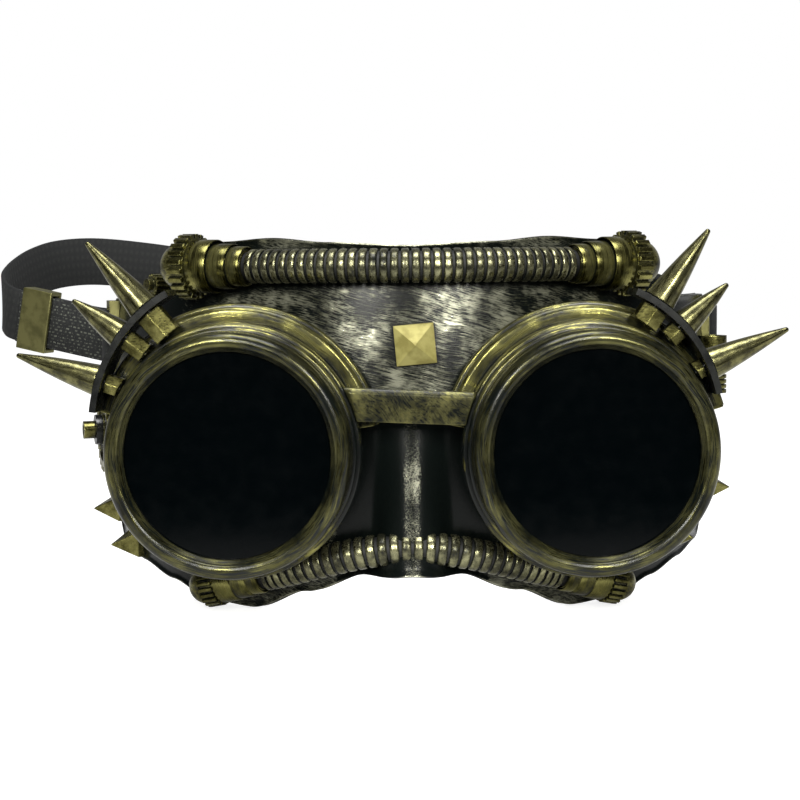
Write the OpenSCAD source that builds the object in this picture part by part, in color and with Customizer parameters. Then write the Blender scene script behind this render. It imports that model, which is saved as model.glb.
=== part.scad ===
// Steampunk goggles: a wrap-round half mask with two screw-fronted eyecups.
// Millimetres. X points right as seen from the front, Y points away from the viewer
// (towards the face) and Z points up. The origin is the middle of the bridge bar's front face.
// Left and right are the viewer's. Each pair is built on the right and mirrored.

/* [Bridge] */
// Height of the bridge bar
bridge_h = 8; // [6:0.5:10]
// Thickness of the bridge bar, front to back
bridge_t = 3.6; // [2.5:0.1:4]
// Tilt of the bridge bar, lower on the right
bridge_tilt = 2.5; // [0:0.5:4]

// Slope along the top front edge of the bridge bar
bridge_slope = 1; // [0.5:0.1:1.5]

/* [Eyecups] */
// Distance between the lens centres
cup_spacing = 89; // [86:0.5:94]
// Lens centres below the bridge
cup_drop = 11; // [9:0.5:12]
// Bezel fronts in front of the bridge face
cup_forward = 7.5; // [6:0.5:8]
// Outward turn of each eyecup
cup_toe = 4; // [2:0.5:6]
// Clear aperture of the bezel
aperture_d = 50; // [46:0.5:51]
// Outside diameter of the bezel
bezel_d = 59.6; // [58.5:0.1:61]
// Diameter of the lens
lens_d = 54.8; // [53:0.1:55]
// Thickness of the lens
lens_t = 2; // [1.5:0.1:2.4]
// Bore of the eyecup behind the lens
cup_bore_d = 49; // [44:0.5:50]
// Outside diameter of the tube between the collars and the mask
tube_d = 57.4; // [56:0.1:59]
// Wall of that tube
tube_wall = 2.4; // [1.6:0.1:3]
// Outside diameter of the broad flange
flange_d = 70.4; // [68:0.1:71]
// Outside diameter of the rear rim
rim_d = 72; // [71.5:0.1:74]
// Travel of the bezel while it unscrews
bezel_travel = 2.6; // [2:0.1:2.8]

/* [Mask] */
// Radius of the mask's wrap round the face
wrap_r = 87; // [84:0.5:90]
// Thickness of the mask
wall = 2; // [1.6:0.1:3]
// Mask front behind the bridge face
mask_back = 12.5; // [12:0.1:14]
// How far the mask curls back at its top and bottom edges
barrel = 5; // [3:0.5:6]
// Depth from the bridge face to the temple ends
mask_depth = 86; // [84:0.5:90]
// Radius of the nose ridge
nose_r = 9; // [7:0.5:10]
// How far the nose ridge stands proud at its lower end
nose_proud = 5; // [3:0.5:6]

/* [Hoses] */
// Outside diameter of the brow hose
brow_hose_d = 8.6; // [7:0.1:9]
// Height of the brow hose above the bridge
brow_z = 34; // [33:0.5:35]
// Angle round the mask at which the brow hose runs straight
brow_turn = 27; // [24:1:30]
// Ribs on the brow hose
brow_ribs = 38; // [20:1:44]
// Outside diameter of the nose hose
nose_hose_d = 8.2; // [7:0.1:8.6]
// Height of the nose hose's middle
nose_hose_z = -36; // [-37:0.5:-35.5]
// Drop of the nose hose from its middle to its cuffs
nose_hose_drop = 7.8; // [6:0.1:9]
// Angle round the mask at which the nose hose ends
nose_hose_turn = 24.5; // [22:0.5:26]
// Ribs on the nose hose
nose_hose_ribs = 30; // [20:1:34]
// Bore of both hoses
hose_bore_d = 5; // [4:0.1:5.4]

/* [Hose ends] */
// Outside diameter of the brow gear collars over their teeth
brow_gear_d = 16.6; // [15:0.1:17]
// Outside diameter of the cheek gear collars over their teeth
cheek_gear_d = 11.6; // [11:0.1:12]
// Thickness of a gear collar
gear_t = 4; // [3:0.1:5]
// Teeth on a gear collar
gear_teeth = 22; // [16:1:26]
// Depth of the gear teeth
tooth_h = 1.1; // [0.8:0.1:1.3]
// Length of the three stepped cuffs at a brow hose end
brow_cuff_l = 15; // [13:0.5:16]
// Length of the cuffs at a nose hose end
cheek_cuff_l = 12.5; // [11:0.5:13]

/* [Spikes] */
// Length of the upper and lower spikes
spike_l = 21.2; // [16:0.1:26]
// Length of the middle spike
short_spike_l = 14.4; // [12:0.1:20]
// Diameter at the foot of a spike
spike_d = 7.8; // [6:0.1:8]
// Diameter at the foot of a middle spike
short_spike_d = 7.1; // [6:0.1:7.2]
// Diameter of the threaded stud on a spike
spike_stud_d = 3; // [2.4:0.1:4]
// Outside radius of the left band that carries spikes
left_band_r = 38.8; // [38:0.1:39]
// Outside radius of the right band that carries spikes
right_band_r = 36.4; // [36:0.1:37.4]
// Thickness of that band
band_t = 1.6; // [1.2:0.1:1.8]
// Depth of that band along the eyecup
band_w = 11.9; // [11:0.1:12]
// Turn of the left band about the eyecup, lower with a larger value
left_band_turn = 3.4; // [0:0.1:6]
// Turn of the right band about the eyecup, higher with a larger value
right_band_turn = 2.6; // [0:0.1:6]
// Largest hexagon nut, across corners
nut_d = 7.4; // [6.5:0.1:7.6]

/* [Trim] */
// Side of the forehead stud
stud_w = 10; // [8:0.5:11]
// Height of the forehead stud
stud_h = 4.6; // [3:0.1:6]
// Side of the small side studs
side_stud_w = 7; // [5:0.5:8]
// Height of the small side studs
side_stud_h = 8; // [4:0.5:8]
// Diameter of the gear wheel on the left temple
temple_gear_d = 24; // [20:0.5:25]
// Diameter of the canister on the right temple
canister_d = 7.6; // [6:0.1:8]
// Length of the canister
canister_l = 16; // [13:0.5:17]

/* [Strap] */
// Width of the strap
strap_w = 15; // [12:0.5:16]
// Thickness of the strap
strap_t = 1.2; // [1:0.1:1.3]
// Length of the slider along the strap
slider_l = 9.8; // [8:0.1:11]
// Wall of the slider
slider_wall = 1.1; // [0.8:0.1:1.4]

/* [Fits] */
// Gap between pieces that are seated on each other
seat_gap = 0.1; // [0.05:0.01:0.2]
// Running gap between the bezel and the eyecup
running_gap = 0.1; // [0.05:0.01:0.2]
// Gap round the strap where it passes through a slot or the slider
strap_gap = 0.4; // [0.3:0.05:0.6]

/* [Hidden] */
$fn = 64;

brass = "#8f8a4a";
dark_brass = "#4f4d2c";
black = "#15171a";
satin_brass = "#b5a54c";

// Eyecup, along its own axis: 0 is the bezel's front, and depths grow towards the face
lip_r = aperture_d / 2;
bezel_r = bezel_d / 2;
bezel_nose_r = (bezel_r - lip_r) / 2;
lens_seat = 3.2;
thread_r = lens_d / 2 + 0.3;
neck_front = lens_seat + lens_t + 2 * seat_gap;
neck_r = thread_r - running_gap;
// The bezel still covers this much of the neck when it is unscrewed as far as it goes
thread_left = 1;
bezel_depth = neck_front + bezel_travel + thread_left;
neck_end = bezel_depth + 2 * seat_gap;
ring_a_r = 30.6;
ring_a_end = neck_end + 1.6;
ring_b_r = 31.6;
ring_b_end = 15;
flange_front = 15.4;
flange_end = 18;
rim_end = 21;
ring_chamfer = 0.5;
bore_taper = 3;
tube_r = tube_d / 2;
tube_bore_r = tube_r - tube_wall;
bore_end = 15;
tube_reach = mask_depth;
collar_inside = 5;
// The collars run from below the bridge over the top to the outer side, as angles about the cup's axis
collar_from = 190;
collar_to = 344;

// Mask
wrap_y = mask_back + wrap_r;
// The side outline takes its heights from the front edges at this X
side_edge_x = 85;
side_front = 20;
side_run = 30;
wrap_mid = -6;
wrap_half = 48;
wrap_steps = 8;
wrap_fn = 360;
wrap_low = -60;
wrap_high = 50;
// Upper and lower edge of the mask, seen from the front, as half widths and heights
top_edge = [[0, 38.9], [22, 39.8], [38, 41], [52, 40.2], [62, 36], [68, 31], [74, 25], [96, 24.8]];
low_edge = [
    [0, -42.3], [12, -43.5], [28, -48.5], [44, -54], [57, -53.2],
    [67, -49.6], [76, -46.6], [82, -44.4], [96, -43.4]
];
edge_steps = 3;
corner_r = 9;
nose_top = -3;
nose_top_y = mask_back + nose_r - 1.2;
nose_low_y = mask_back + nose_r - nose_proud;
// Length of a cut that goes right through a wall
through = 20;

// Forehead stud
forehead_x = 1;
forehead_z = 14.5;
stud_post_d = 3;
stud_turn = 5;
stud_foot = 1.2;
side_stud_foot = 1.4;
stud_tail = 1.5;
stud_tip = 0.4;

// Hoses
brow_hose_r = brow_hose_d / 2;
nose_hose_r = nose_hose_d / 2;
hose_bore_r = hose_bore_d / 2;
rib_h = 0.75;
hose_sides = 8;
hose_gap = 0.3;
tail_gap = 0.15;
tail_start = 0.6;
bore_steps = 16;
// Gap between the last rib and the cuffs
cuff_gap = 0.8;
// Stepped cuffs, as [end of the step as a share of the length, radius]
brow_steps = [[0.3, brow_hose_r + 0.7], [0.64, brow_hose_r + 1.4], [1, brow_hose_r + 2.5]];
cheek_steps = [[0.3, nose_hose_r + 0.4], [0.64, nose_hose_r + 0.8], [1, nose_hose_r + 1.2]];
cuff_lip = 0.9;
brow_plug_r = brow_hose_r;
cheek_plug_r = 3;
brow_dome_r = 6.2;
cheek_dome_r = 4.8;

// Spikes
band_in = 4.5;
band_up = 6;
spike_angles = [52.3, 39.3, 20.8];
spike_depth = 11;
band_front = flange_end - seat_gap - band_w;
spike_tip_d = 1.3;
spike_tail = 1.6;
band_margin = 11;
nut_sizes = [nut_d, nut_d * 0.76, nut_d * 0.7];
// Inner ends of the nuts, measured from the band's centre
nut_feet = [29.9, 31.2, 32.2];
// A flat nut clears the band's curve by this much
nut_clearance = 0.35;

// Temple trim, as angles round the mask in front of its temple ends, and heights
temple_turn = acos((wrap_y - mask_depth) / wrap_r);
left_stud_places = [[5, -35], [17, -42.6]];
right_stud_places = [[5.6, -30.1], [26.3, -39.8]];
temple_gear_place = [7.6, -12];
temple_gear_t = 4;
temple_gear_teeth = 24;
temple_tooth = [1.4, 1.6];
temple_root = temple_gear_d / 2 - temple_tooth[0];
temple_rim = 1.6;
washer_d = 8.5;
washer_t = 1.8;
bolt_d = 5;
bolt_h = 3.2;
bolt_shank_d = bolt_d - 1.6;
knob_place = [30.6, 29.2];
knob_d = 5.6;
knob_l = 5;
knob_ridges = 14;
knob_ridge_w = 0.6;
knob_groove = 0.4;
knob_nose_d = 3.2;
knob_nose_l = 1.6;
canister_place = [11.2, 5.5];
canister_foot = 5.5;
canister_rim = 3.4;
canister_wall = 1.3;
canister_groove = 0.5;
canister_rings = 4;
canister_ring_gap = 0.4;
canister_floor = 1;
// How far a trim piece reaches into the mask before its foot is cut to the mask's shape
sink = 1;
lug_angle = temple_turn - 5.6;
lug_z = 14;
lug_size = [8.6, 2, 20.4];
slot_w = 4.6;
slot_h = strap_w + 2 * strap_gap + 1;

// Strap, on its doubled straight stretch and round the temples
strap_from = mirrored_point(from_lug(8.2, 5.4, 14.6));
strap_dir = unit([-25, 10, 5]);
strap_normal = unit([-strap_dir[1], strap_dir[0], 0]);
strap_straight = 27;
slider_at = 19.6;
layer_gap = 0.3;
fold_at = lug_angle + 0.7;
outer_fold_r = wrap_at(lug_z) + lug_size[1] + strap_t / 2 + hose_gap;
inner_fold_r = wrap_at(lug_z + strap_w / 2) - wall - strap_t / 2 - hose_gap;
strap_steps = 3;

function unit(v) = v / norm(v);
function mix(a, b, t) = a + (b - a) * t;
function smooth(t) = t * t * (3 - 2 * t);
// Height of an edge outline at a half width, eased from point to point
function edge_at(edge, x, i = 0) =
    x <= edge[i + 1][0] || i == len(edge) - 2
        ? mix(edge[i][1], edge[i + 1][1], smooth((x - edge[i][0]) / (edge[i + 1][0] - edge[i][0])))
        : edge_at(edge, x, i + 1);
function edge_points(edge) = [
    for (i = [0:len(edge) - 2], k = [0:edge_steps - 1])
        let (x = mix(edge[i][0], edge[i + 1][0], k / edge_steps)) [x, edge_at(edge, x)]
];
function mirrored(points) = [for (i = [len(points) - 1:-1:1]) [-points[i][0], points[i][1]]];
function reversed(list) = [for (i = [len(list) - 1:-1:0]) list[i]];
function arc_points(c, r, from, to, n) = [
    for (i = [0:n]) let (a = mix(from, to, i / n)) c + r * [cos(a), sin(a)]
];
// Radius of the mask's wrap at a height
function wrap_at(z) = wrap_r - barrel * pow((z - wrap_mid) / wrap_half, 2);
function wrap_point(angle, r, z) = [r * sin(angle), wrap_y - r * cos(angle), z];
// A place past the right lug by an angle, and outwards from the mask there
function from_lug(angle, out, z) = wrap_point(lug_angle + angle, wrap_at(lug_z) + out, z);
function mirrored_point(p) = [-p[0], p[1], p[2]];

module side(s) {
    if (s > 0) children();
    else mirror([1, 0, 0]) children();
}

// Local Z runs from the bezel's front towards the face, and local Y points down
module on_cup() {
    translate([cup_spacing / 2, -cup_forward, -cup_drop])
        rotate([0, 0, cup_toe])
            rotate([-90, 0, 0]) children();
}

// Local -Y points out of the mask and local X runs round it
module on_wrap(angle, z, r) {
    translate([0, wrap_y, z])
        rotate([0, 0, angle])
            translate([0, -r, 0]) children();
}

// Profile of the mask's wrap from its lower to its upper end, grown by an offset
function wrap_profile(grow) = [
    for (i = [0:wrap_steps]) let (z = mix(wrap_low, wrap_high, i / wrap_steps)) [wrap_at(z) + grow, z]
];

// The mask's wrap as a solid drum
module wrap_solid(grow) {
    translate([0, wrap_y, 0])
        rotate_extrude($fn = wrap_fn)
            polygon(concat([[0, wrap_high], [0, wrap_low]], wrap_profile(grow)));
}

// The front half of the mask's wrap as a wall
module wrap_wall() {
    translate([0, wrap_y, 0])
        rotate([0, 0, 180])
            rotate_extrude(angle = 180, $fn = wrap_fn)
                polygon(concat(wrap_profile(0), reversed(wrap_profile(-wall))));
}

// A piece that is seated on the mask loses what would reach into it
module seated() {
    difference() {
        children();
        wrap_solid(seat_gap);
    }
}

// The mask's outline from the front
module front_outline() {
    top = edge_points(top_edge);
    low = edge_points(low_edge);
    rotate([90, 0, 0])
        linear_extrude(3 * wrap_r, center = true)
            polygon(concat(mirrored(top), top, reversed(low), reversed(mirrored(low))));
}

// The mask's outline from the side, with rounded temple ends
module side_outline() {
    top = edge_at(top_edge, side_edge_x);
    low = edge_at(low_edge, side_edge_x);
    back = mask_depth;
    rotate([90, 0, 90])
        linear_extrude(2 * wrap_r + 20, center = true)
            polygon(concat(
                [[-side_front, wrap_low], [back - side_run, wrap_low]],
                arc_points([back - corner_r, low + corner_r], corner_r, -90, 0, 6),
                arc_points([back - corner_r, top - corner_r], corner_r, 0, 90, 6),
                [[back - side_run, wrap_high], [-side_front, wrap_high]]
            ));
}

// The nose ridge leans forward towards its lower end, and its top is rounded
module nose_form(r) {
    low_z = nose_hose_z + nose_hose_r + hose_gap;
    lean = atan((nose_top_y - nose_low_y) / (nose_top - low_z));
    translate([0, nose_top_y, nose_top])
        rotate([-lean, 0, 0])
            rotate_extrude()
                polygon(concat(
                    [[0, low_z - nose_top], [r, low_z - nose_top]],
                    arc_points([0, 0], r, 0, 90, 6)
                ));
}

module face_shell() {
    color(brass)
        difference() {
            union() {
                intersection() {
                    wrap_wall();
                    front_outline();
                    side_outline();
                }
                difference() {
                    nose_form(nose_r);
                    wrap_solid(-wall / 2);
                }
            }
            nose_form(nose_r - wall);
            for (s = [-1, 1]) side(s) {
                on_cup() translate([0, 0, flange_front]) cylinder(r = tube_r + seat_gap, h = tube_reach);
                on_wrap(lug_angle, lug_z, wrap_r) cube([slot_w, through, slot_h], center = true);
            }
            at_forehead() cylinder(d = stud_post_d + 2 * seat_gap, h = through, center = true);
        }
}

module bridge_bar() {
    // Long enough to reach both stepped rings, and cut to their shape
    color(brass)
        difference() {
            rotate([0, bridge_tilt, 0])
                rotate([90, 0, 90]) linear_extrude(cup_spacing, center = true) polygon([
                    [0, -bridge_h / 2], [0, bridge_h / 2 - bridge_slope], [bridge_slope, bridge_h / 2],
                    [bridge_t, bridge_h / 2], [bridge_t, -bridge_h / 2]
                ]);
            for (s = [-1, 1]) side(s) on_cup() cylinder(r = ring_b_r + seat_gap, h = rim_end);
        }
}

// A square foot at Z = 0 that rises to a point
module pyramid(w, h, foot) {
    linear_extrude(foot) square(w, center = true);
    translate([0, 0, foot]) rotate(45) cylinder(d1 = w * sqrt(2), d2 = stud_tip, h = h - foot, $fn = 4);
}

// Local Z points forwards out of the forehead
module at_forehead() {
    translate([forehead_x, wrap_y - wrap_at(forehead_z), forehead_z]) rotate([90, 0, 0]) children();
}
module forehead_stud() {
    color(satin_brass) {
        seated() at_forehead() translate([0, 0, -sink]) rotate(stud_turn)
            pyramid(stud_w, stud_h + sink, stud_foot + sink);
        at_forehead() translate([0, 0, -wall - stud_tail])
            cylinder(d = stud_post_d, h = wall + stud_tail + stud_foot);
    }
}

module ring_profile(r_in, r_out, from, to) {
    polygon([
        [r_in, from], [r_out - ring_chamfer, from], [r_out, from + ring_chamfer],
        [r_out, to - ring_chamfer], [r_out - ring_chamfer, to], [r_in, to]
    ]);
}

module eyecup() {
    color(brass)
        difference() {
            on_cup() {
                rotate_extrude() {
                    translate([cup_bore_d / 2, neck_front])
                        square([neck_r - cup_bore_d / 2, neck_end - neck_front + 1]);
                    ring_profile(cup_bore_d / 2, ring_a_r, neck_end, ring_a_end + 1);
                    ring_profile(cup_bore_d / 2, ring_b_r, ring_a_end, ring_b_end);
                    polygon([
                        [cup_bore_d / 2, ring_a_end], [tube_r, ring_a_end], [tube_r, tube_reach],
                        [tube_bore_r, tube_reach], [tube_bore_r, bore_end + bore_taper],
                        [cup_bore_d / 2, bore_end]
                    ]);
                }
                rotate([0, 0, collar_from])
                    rotate_extrude(angle = collar_to - collar_from) {
                        ring_profile(tube_r - 1, flange_d / 2, flange_front, flange_end + 1);
                        ring_profile(tube_r - 1, rim_d / 2, flange_end, rim_end);
                    }
            }
            translate([0, wrap_y, 0])
                cylinder(r = wrap_r - wall - collar_inside, h = 2 * wrap_r, center = true);
        }
}

module lens() {
    color(black)
        on_cup() translate([0, 0, lens_seat + seat_gap]) cylinder(d = lens_d, h = lens_t);
}

module bezel() {
    color(dark_brass)
        on_cup() rotate_extrude() difference() {
            union() {
                translate([lip_r + bezel_nose_r, bezel_nose_r]) circle(bezel_nose_r);
                translate([lip_r, bezel_nose_r]) square([2 * bezel_nose_r, bezel_depth - bezel_nose_r]);
            }
            translate([lip_r - 1, lens_seat]) square([thread_r - lip_r + 1, bezel_depth]);
        }
}

// Hoses: a ring of points round each place on a path, which runs along X and round the mask
function hose_ring(p, t, r) =
    let (a = unit(cross(t, [0, 0, 1])), b = cross(a, t))
    [for (k = [0:hose_sides - 1]) let (w = 360 * (k + 0.5) / hose_sides) p + r * (cos(w) * a + sin(w) * b)];
function tangent(path, i) = unit(path[min(i + 1, len(path) - 1)] - path[max(i - 1, 0)]);
function swept(path, radii) = [
    for (i = [0:len(path) - 1]) each hose_ring(path[i], tangent(path, i), radii[i])
];
// Side faces of a tube of n rings, starting at point number first
function tube_faces(n, first, flip) = [
    for (i = [0:n - 2], k = [0:hose_sides - 1])
        let (
            m = (k + 1) % hose_sides,
            a = first + i * hose_sides + k,
            b = first + i * hose_sides + m,
            c = a + hose_sides,
            d = b + hose_sides
        )
        each flip ? [[a, c, b], [b, c, d]] : [[a, b, c], [b, d, c]]
];
// End faces between an outer and an inner ring
function end_faces(outer, inner, flip) = [
    for (k = [0:hose_sides - 1])
        let (m = (k + 1) % hose_sides, a = outer + k, b = outer + m, c = inner + k, d = inner + m)
        each flip ? [[a, b, c], [b, d, c]] : [[a, c, b], [b, c, d]]
];
// A ribbed tube: outer rings on one path, a smooth bore on another with the same ends
module ribbed_tube(outer_path, outer_radii, bore_path) {
    n = len(outer_path);
    m = len(bore_path);
    start = n * hose_sides;
    polyhedron(
        points = concat(
            swept(outer_path, outer_radii),
            swept(bore_path, [for (p = bore_path) hose_bore_r])
        ),
        faces = concat(
            tube_faces(n, 0, false),
            tube_faces(m, start, true),
            end_faces(0, start, false),
            end_faces((n - 1) * hose_sides, start + (m - 1) * hose_sides, true)
        )
    );
}

// A hose is an arc with ribs, and each end has a straight tail
module hose(count, radius, arc, bore, tail, head) {
    valley = radius - rib_h;
    plain = [valley, valley];
    ribs = [for (i = [0:2 * count]) i % 2 == 0 ? valley : radius];
    color(brass)
        ribbed_tube(concat(tail, arc, head), concat(plain, ribs, plain), concat(tail, bore, head));
}

// Brow hose: an arc round the forehead
brow_wrap = wrap_at(brow_z) + brow_hose_r + hose_gap;
function brow_point(angle) = wrap_point(angle, brow_wrap, brow_z);
function brow_arc(n) = [for (i = [0:n]) brow_point(mix(-brow_turn, brow_turn, i / n))];
function brow_straight(s, along) =
    brow_point(s * brow_turn) + along * [s * cos(brow_turn), sin(brow_turn), 0];
module brow_hose() {
    tail_l = brow_hose_d;
    hose(
        brow_ribs, brow_hose_r, brow_arc(2 * brow_ribs), brow_arc(bore_steps),
        [brow_straight(-1, tail_l), brow_straight(-1, tail_start)],
        [brow_straight(1, tail_start), brow_straight(1, tail_l)]
    );
}

// Nose hose: the same kind of arc, dropping towards its ends
nose_wrap = wrap_at(nose_hose_z) + nose_hose_r + hose_gap;
nose_sweep = 130;
function nose_fall(angle) =
    nose_hose_z - nose_hose_drop * (1 - cos(nose_sweep * angle / nose_hose_turn)) / (1 - cos(nose_sweep));
function nose_point(angle) = wrap_point(angle, nose_wrap, nose_fall(angle));
function nose_arc(n) = [for (i = [0:n]) nose_point(mix(-nose_hose_turn, nose_hose_turn, i / n))];
nose_slope = nose_fall(nose_hose_turn) - nose_fall(nose_hose_turn - 1);
nose_dip = atan(nose_slope / (nose_wrap * PI / 180));
function nose_straight(s, along) =
    nose_point(s * nose_hose_turn)
    + along * [s * cos(nose_hose_turn) * cos(nose_dip), sin(nose_hose_turn) * cos(nose_dip), sin(nose_dip)];
module nose_hose() {
    tail_l = cheek_cuff_l - 1;
    hose(
        nose_hose_ribs, nose_hose_r, nose_arc(2 * nose_hose_ribs), nose_arc(bore_steps),
        [nose_straight(-1, tail_l), nose_straight(-1, tail_start)],
        [nose_straight(1, tail_start), nose_straight(1, tail_l)]
    );
}

// Local Z runs outwards along the straight end of a hose
module at_brow_end() {
    translate(brow_point(brow_turn)) rotate([0, 0, brow_turn]) rotate([0, 90, 0]) children();
}
module at_cheek_end() {
    translate(nose_point(nose_hose_turn))
        rotate([0, 0, nose_hose_turn]) rotate([0, 90 - nose_dip, 0]) children();
}

// Stepped cuffs, each step with a chamfered front edge
module cuffs(length, steps, bore_r) {
    rotate_extrude() difference() {
        for (i = [0:len(steps) - 1])
            let (from = i == 0 ? 0 : steps[i - 1][0] * length, to = steps[i][0] * length, r = steps[i][1])
                polygon([[0, from], [r - cuff_lip, from], [r, (from + to) / 2], [r, to], [0, to]]);
        translate([-1, -1]) square([bore_r + 1, length + 2]);
    }
}

module gear_collar(d, bore_r) {
    root = d / 2 - tooth_h;
    tooth_w = PI * d / gear_teeth / 2;
    difference() {
        linear_extrude(gear_t) {
            circle(root);
            for (i = [0:gear_teeth - 1])
                rotate(360 * i / gear_teeth) translate([0, -tooth_w / 2]) square([root + tooth_h, tooth_w]);
        }
        translate([0, 0, -1]) cylinder(r = bore_r, h = gear_t + 2);
    }
}

// A domed cap whose plug fills the gear collar
module cap(plug_r, dome_r) {
    cylinder(r = plug_r - seat_gap, h = gear_t + 1);
    translate([0, 0, gear_t]) intersection() {
        sphere(dome_r);
        cylinder(r = 2 * dome_r, h = 2 * dome_r);
    }
}

module brow_cuffs() {
    color(brass) seated() at_brow_end() translate([0, 0, cuff_gap])
        cuffs(brow_cuff_l, brow_steps, brow_hose_r - rib_h + tail_gap);
}
module brow_gear() {
    color(brass) seated() at_brow_end() translate([0, 0, cuff_gap + brow_cuff_l + seat_gap])
        gear_collar(brow_gear_d, brow_plug_r);
}
module brow_cap() {
    color(brass) seated() at_brow_end() translate([0, 0, cuff_gap + brow_cuff_l + 2 * seat_gap])
        cap(brow_plug_r, brow_dome_r);
}
module cheek_cuffs() {
    color(brass) seated() at_cheek_end() translate([0, 0, cuff_gap])
        cuffs(cheek_cuff_l, cheek_steps, nose_hose_r - rib_h + tail_gap);
}
module cheek_gear() {
    color(brass) seated() at_cheek_end() translate([0, 0, cuff_gap + cheek_cuff_l + seat_gap])
        gear_collar(cheek_gear_d, cheek_plug_r);
}
module cheek_cap() {
    color(brass) seated() at_cheek_end() translate([0, 0, cuff_gap + cheek_cuff_l + 2 * seat_gap])
        cap(cheek_plug_r, cheek_dome_r);
}

// Spikes stand on a band whose centre lies inwards of the eyecup's axis and above it.
// Local Z points outwards along a spike from the band's centre.
module at_band(turn) {
    on_cup() translate([-band_in, -band_up, 0]) rotate([0, 0, -turn]) children();
}
module at_spike(turn, i) {
    at_band(turn) rotate([0, 0, -spike_angles[i]])
        translate([0, 0, spike_depth]) rotate([0, 90, 0]) children();
}
module spike_band(turn, band_r) {
    color(black)
        difference() {
            at_band(turn) translate([0, 0, band_front])
                rotate([0, 0, -spike_angles[0] - band_margin])
                    rotate_extrude(angle = spike_angles[0] - spike_angles[2] + 2 * band_margin)
                        translate([band_r - band_t, 0]) square([band_t, band_w]);
            for (i = [0:2]) at_spike(turn, i)
                translate([0, 0, band_r - through / 2])
                    cylinder(d = spike_stud_d + 2 * seat_gap, h = through);
            on_cup() translate([0, 0, flange_front - seat_gap])
                cylinder(r = flange_d / 2 + seat_gap, h = through);
        }
}
module spike_nuts(turn, band_r) {
    color(brass) difference() {
        for (i = [0:2]) at_spike(turn, i) translate([0, 0, nut_feet[i]]) difference() {
            cylinder(d = nut_sizes[i], h = band_r - band_t - nut_clearance - nut_feet[i], $fn = 6);
            translate([0, 0, -1]) cylinder(d = spike_stud_d + 2 * seat_gap, h = band_r);
        }
        on_cup() cylinder(r = ring_b_r + seat_gap, h = rim_end);
    }
}
module spike(turn, band_r, i, length, foot_d) {
    cone = length - spike_tip_d / 2;
    color(brass) at_spike(turn, i) translate([0, 0, band_r + seat_gap]) {
        cylinder(d1 = foot_d, d2 = spike_tip_d, h = cone);
        translate([0, 0, cone]) sphere(d = spike_tip_d);
        translate([0, 0, -band_t - spike_tail])
            cylinder(d = spike_stud_d, h = band_t + spike_tail + seat_gap);
    }
}

module side_studs(places) {
    color(brass) for (p = places) seated()
        on_wrap(temple_turn - p[0], p[1], wrap_at(p[1]) - sink)
            rotate([90, 0, 0]) pyramid(side_stud_w, side_stud_h + sink, side_stud_foot + sink);
}

module at_temple_gear() {
    z = temple_gear_place[1];
    on_wrap(temple_turn - temple_gear_place[0], z, wrap_at(z)) rotate([90, 0, 0]) children();
}
module temple_gear() {
    color(brass) seated() at_temple_gear() translate([0, 0, -sink])
        difference() {
            linear_extrude(temple_gear_t + sink) {
                circle(temple_root);
                for (i = [0:temple_gear_teeth - 1])
                    rotate(360 * i / temple_gear_teeth)
                        translate([0, -temple_tooth[1] / 2]) square([temple_gear_d / 2, temple_tooth[1]]);
            }
            // A sunk ring between the rim and the hub
            translate([0, 0, temple_gear_t]) difference() {
                cylinder(r = temple_root - temple_rim, h = through);
                cylinder(d = washer_d + 2 * seat_gap, h = through);
            }
            cylinder(d = bolt_shank_d, h = through, center = true);
        }
}
module temple_washer() {
    color(black) at_temple_gear() translate([0, 0, temple_gear_t + seat_gap])
        difference() {
            cylinder(d = washer_d, h = washer_t);
            cylinder(d = bolt_shank_d, h = through, center = true);
        }
}
module temple_bolt() {
    top = temple_gear_t + washer_t + 2 * seat_gap;
    color(brass) at_temple_gear() {
        translate([0, 0, top]) difference() {
            cylinder(d = bolt_d, h = bolt_h);
            translate([0, 0, bolt_h / 2]) cylinder(d = bolt_d - 2, h = bolt_h);
        }
        translate([0, 0, seat_gap]) cylinder(d = bolt_shank_d - 2 * seat_gap, h = top);
    }
}
module side_knob() {
    color(brass) seated() on_wrap(temple_turn - knob_place[0], knob_place[1], wrap_at(knob_place[1]) - sink)
        rotate([90, 0, 0]) {
            linear_extrude(knob_l) {
                circle(d = knob_d - 2 * knob_groove);
                for (i = [0:knob_ridges - 1])
                    rotate(360 * i / knob_ridges) square([knob_d / 2, knob_ridge_w]);
            }
            cylinder(d = knob_nose_d, h = knob_l + knob_nose_l);
        }
}
module canister() {
    r = canister_d / 2;
    z = canister_place[1];
    ring_pitch = canister_foot / canister_rings;
    color(brass) seated()
        on_wrap(temple_turn - canister_place[0], z - canister_l / 2, wrap_at(z) + r - sink / 2)
        difference() {
            union() {
                cylinder(r = r - canister_groove, h = canister_l);
                for (i = [0:canister_rings - 1])
                    translate([0, 0, i * ring_pitch]) cylinder(r = r, h = ring_pitch - canister_ring_gap);
                translate([0, 0, canister_l - canister_rim]) cylinder(r = r, h = canister_rim);
            }
            translate([0, 0, canister_foot + canister_floor])
                cylinder(r = r - canister_wall, h = canister_l);
        }
}

module strap_lug() {
    color(satin_brass) seated()
        on_wrap(lug_angle, lug_z, wrap_at(lug_z) + (lug_size[1] - sink) / 2)
            difference() {
                cube([lug_size[0], lug_size[1] + sink, lug_size[2]], center = true);
                cube([slot_w, through, slot_h], center = true);
            }
}

// Strap: one band of webbing that doubles back through a slot at each temple.
// Places along the straight doubled stretch: layer 1 is towards the face, layer -1 in front
function on_stretch(along, layer) =
    strap_from + along * strap_dir - layer * (strap_t + layer_gap) / 2 * strap_normal;
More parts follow.
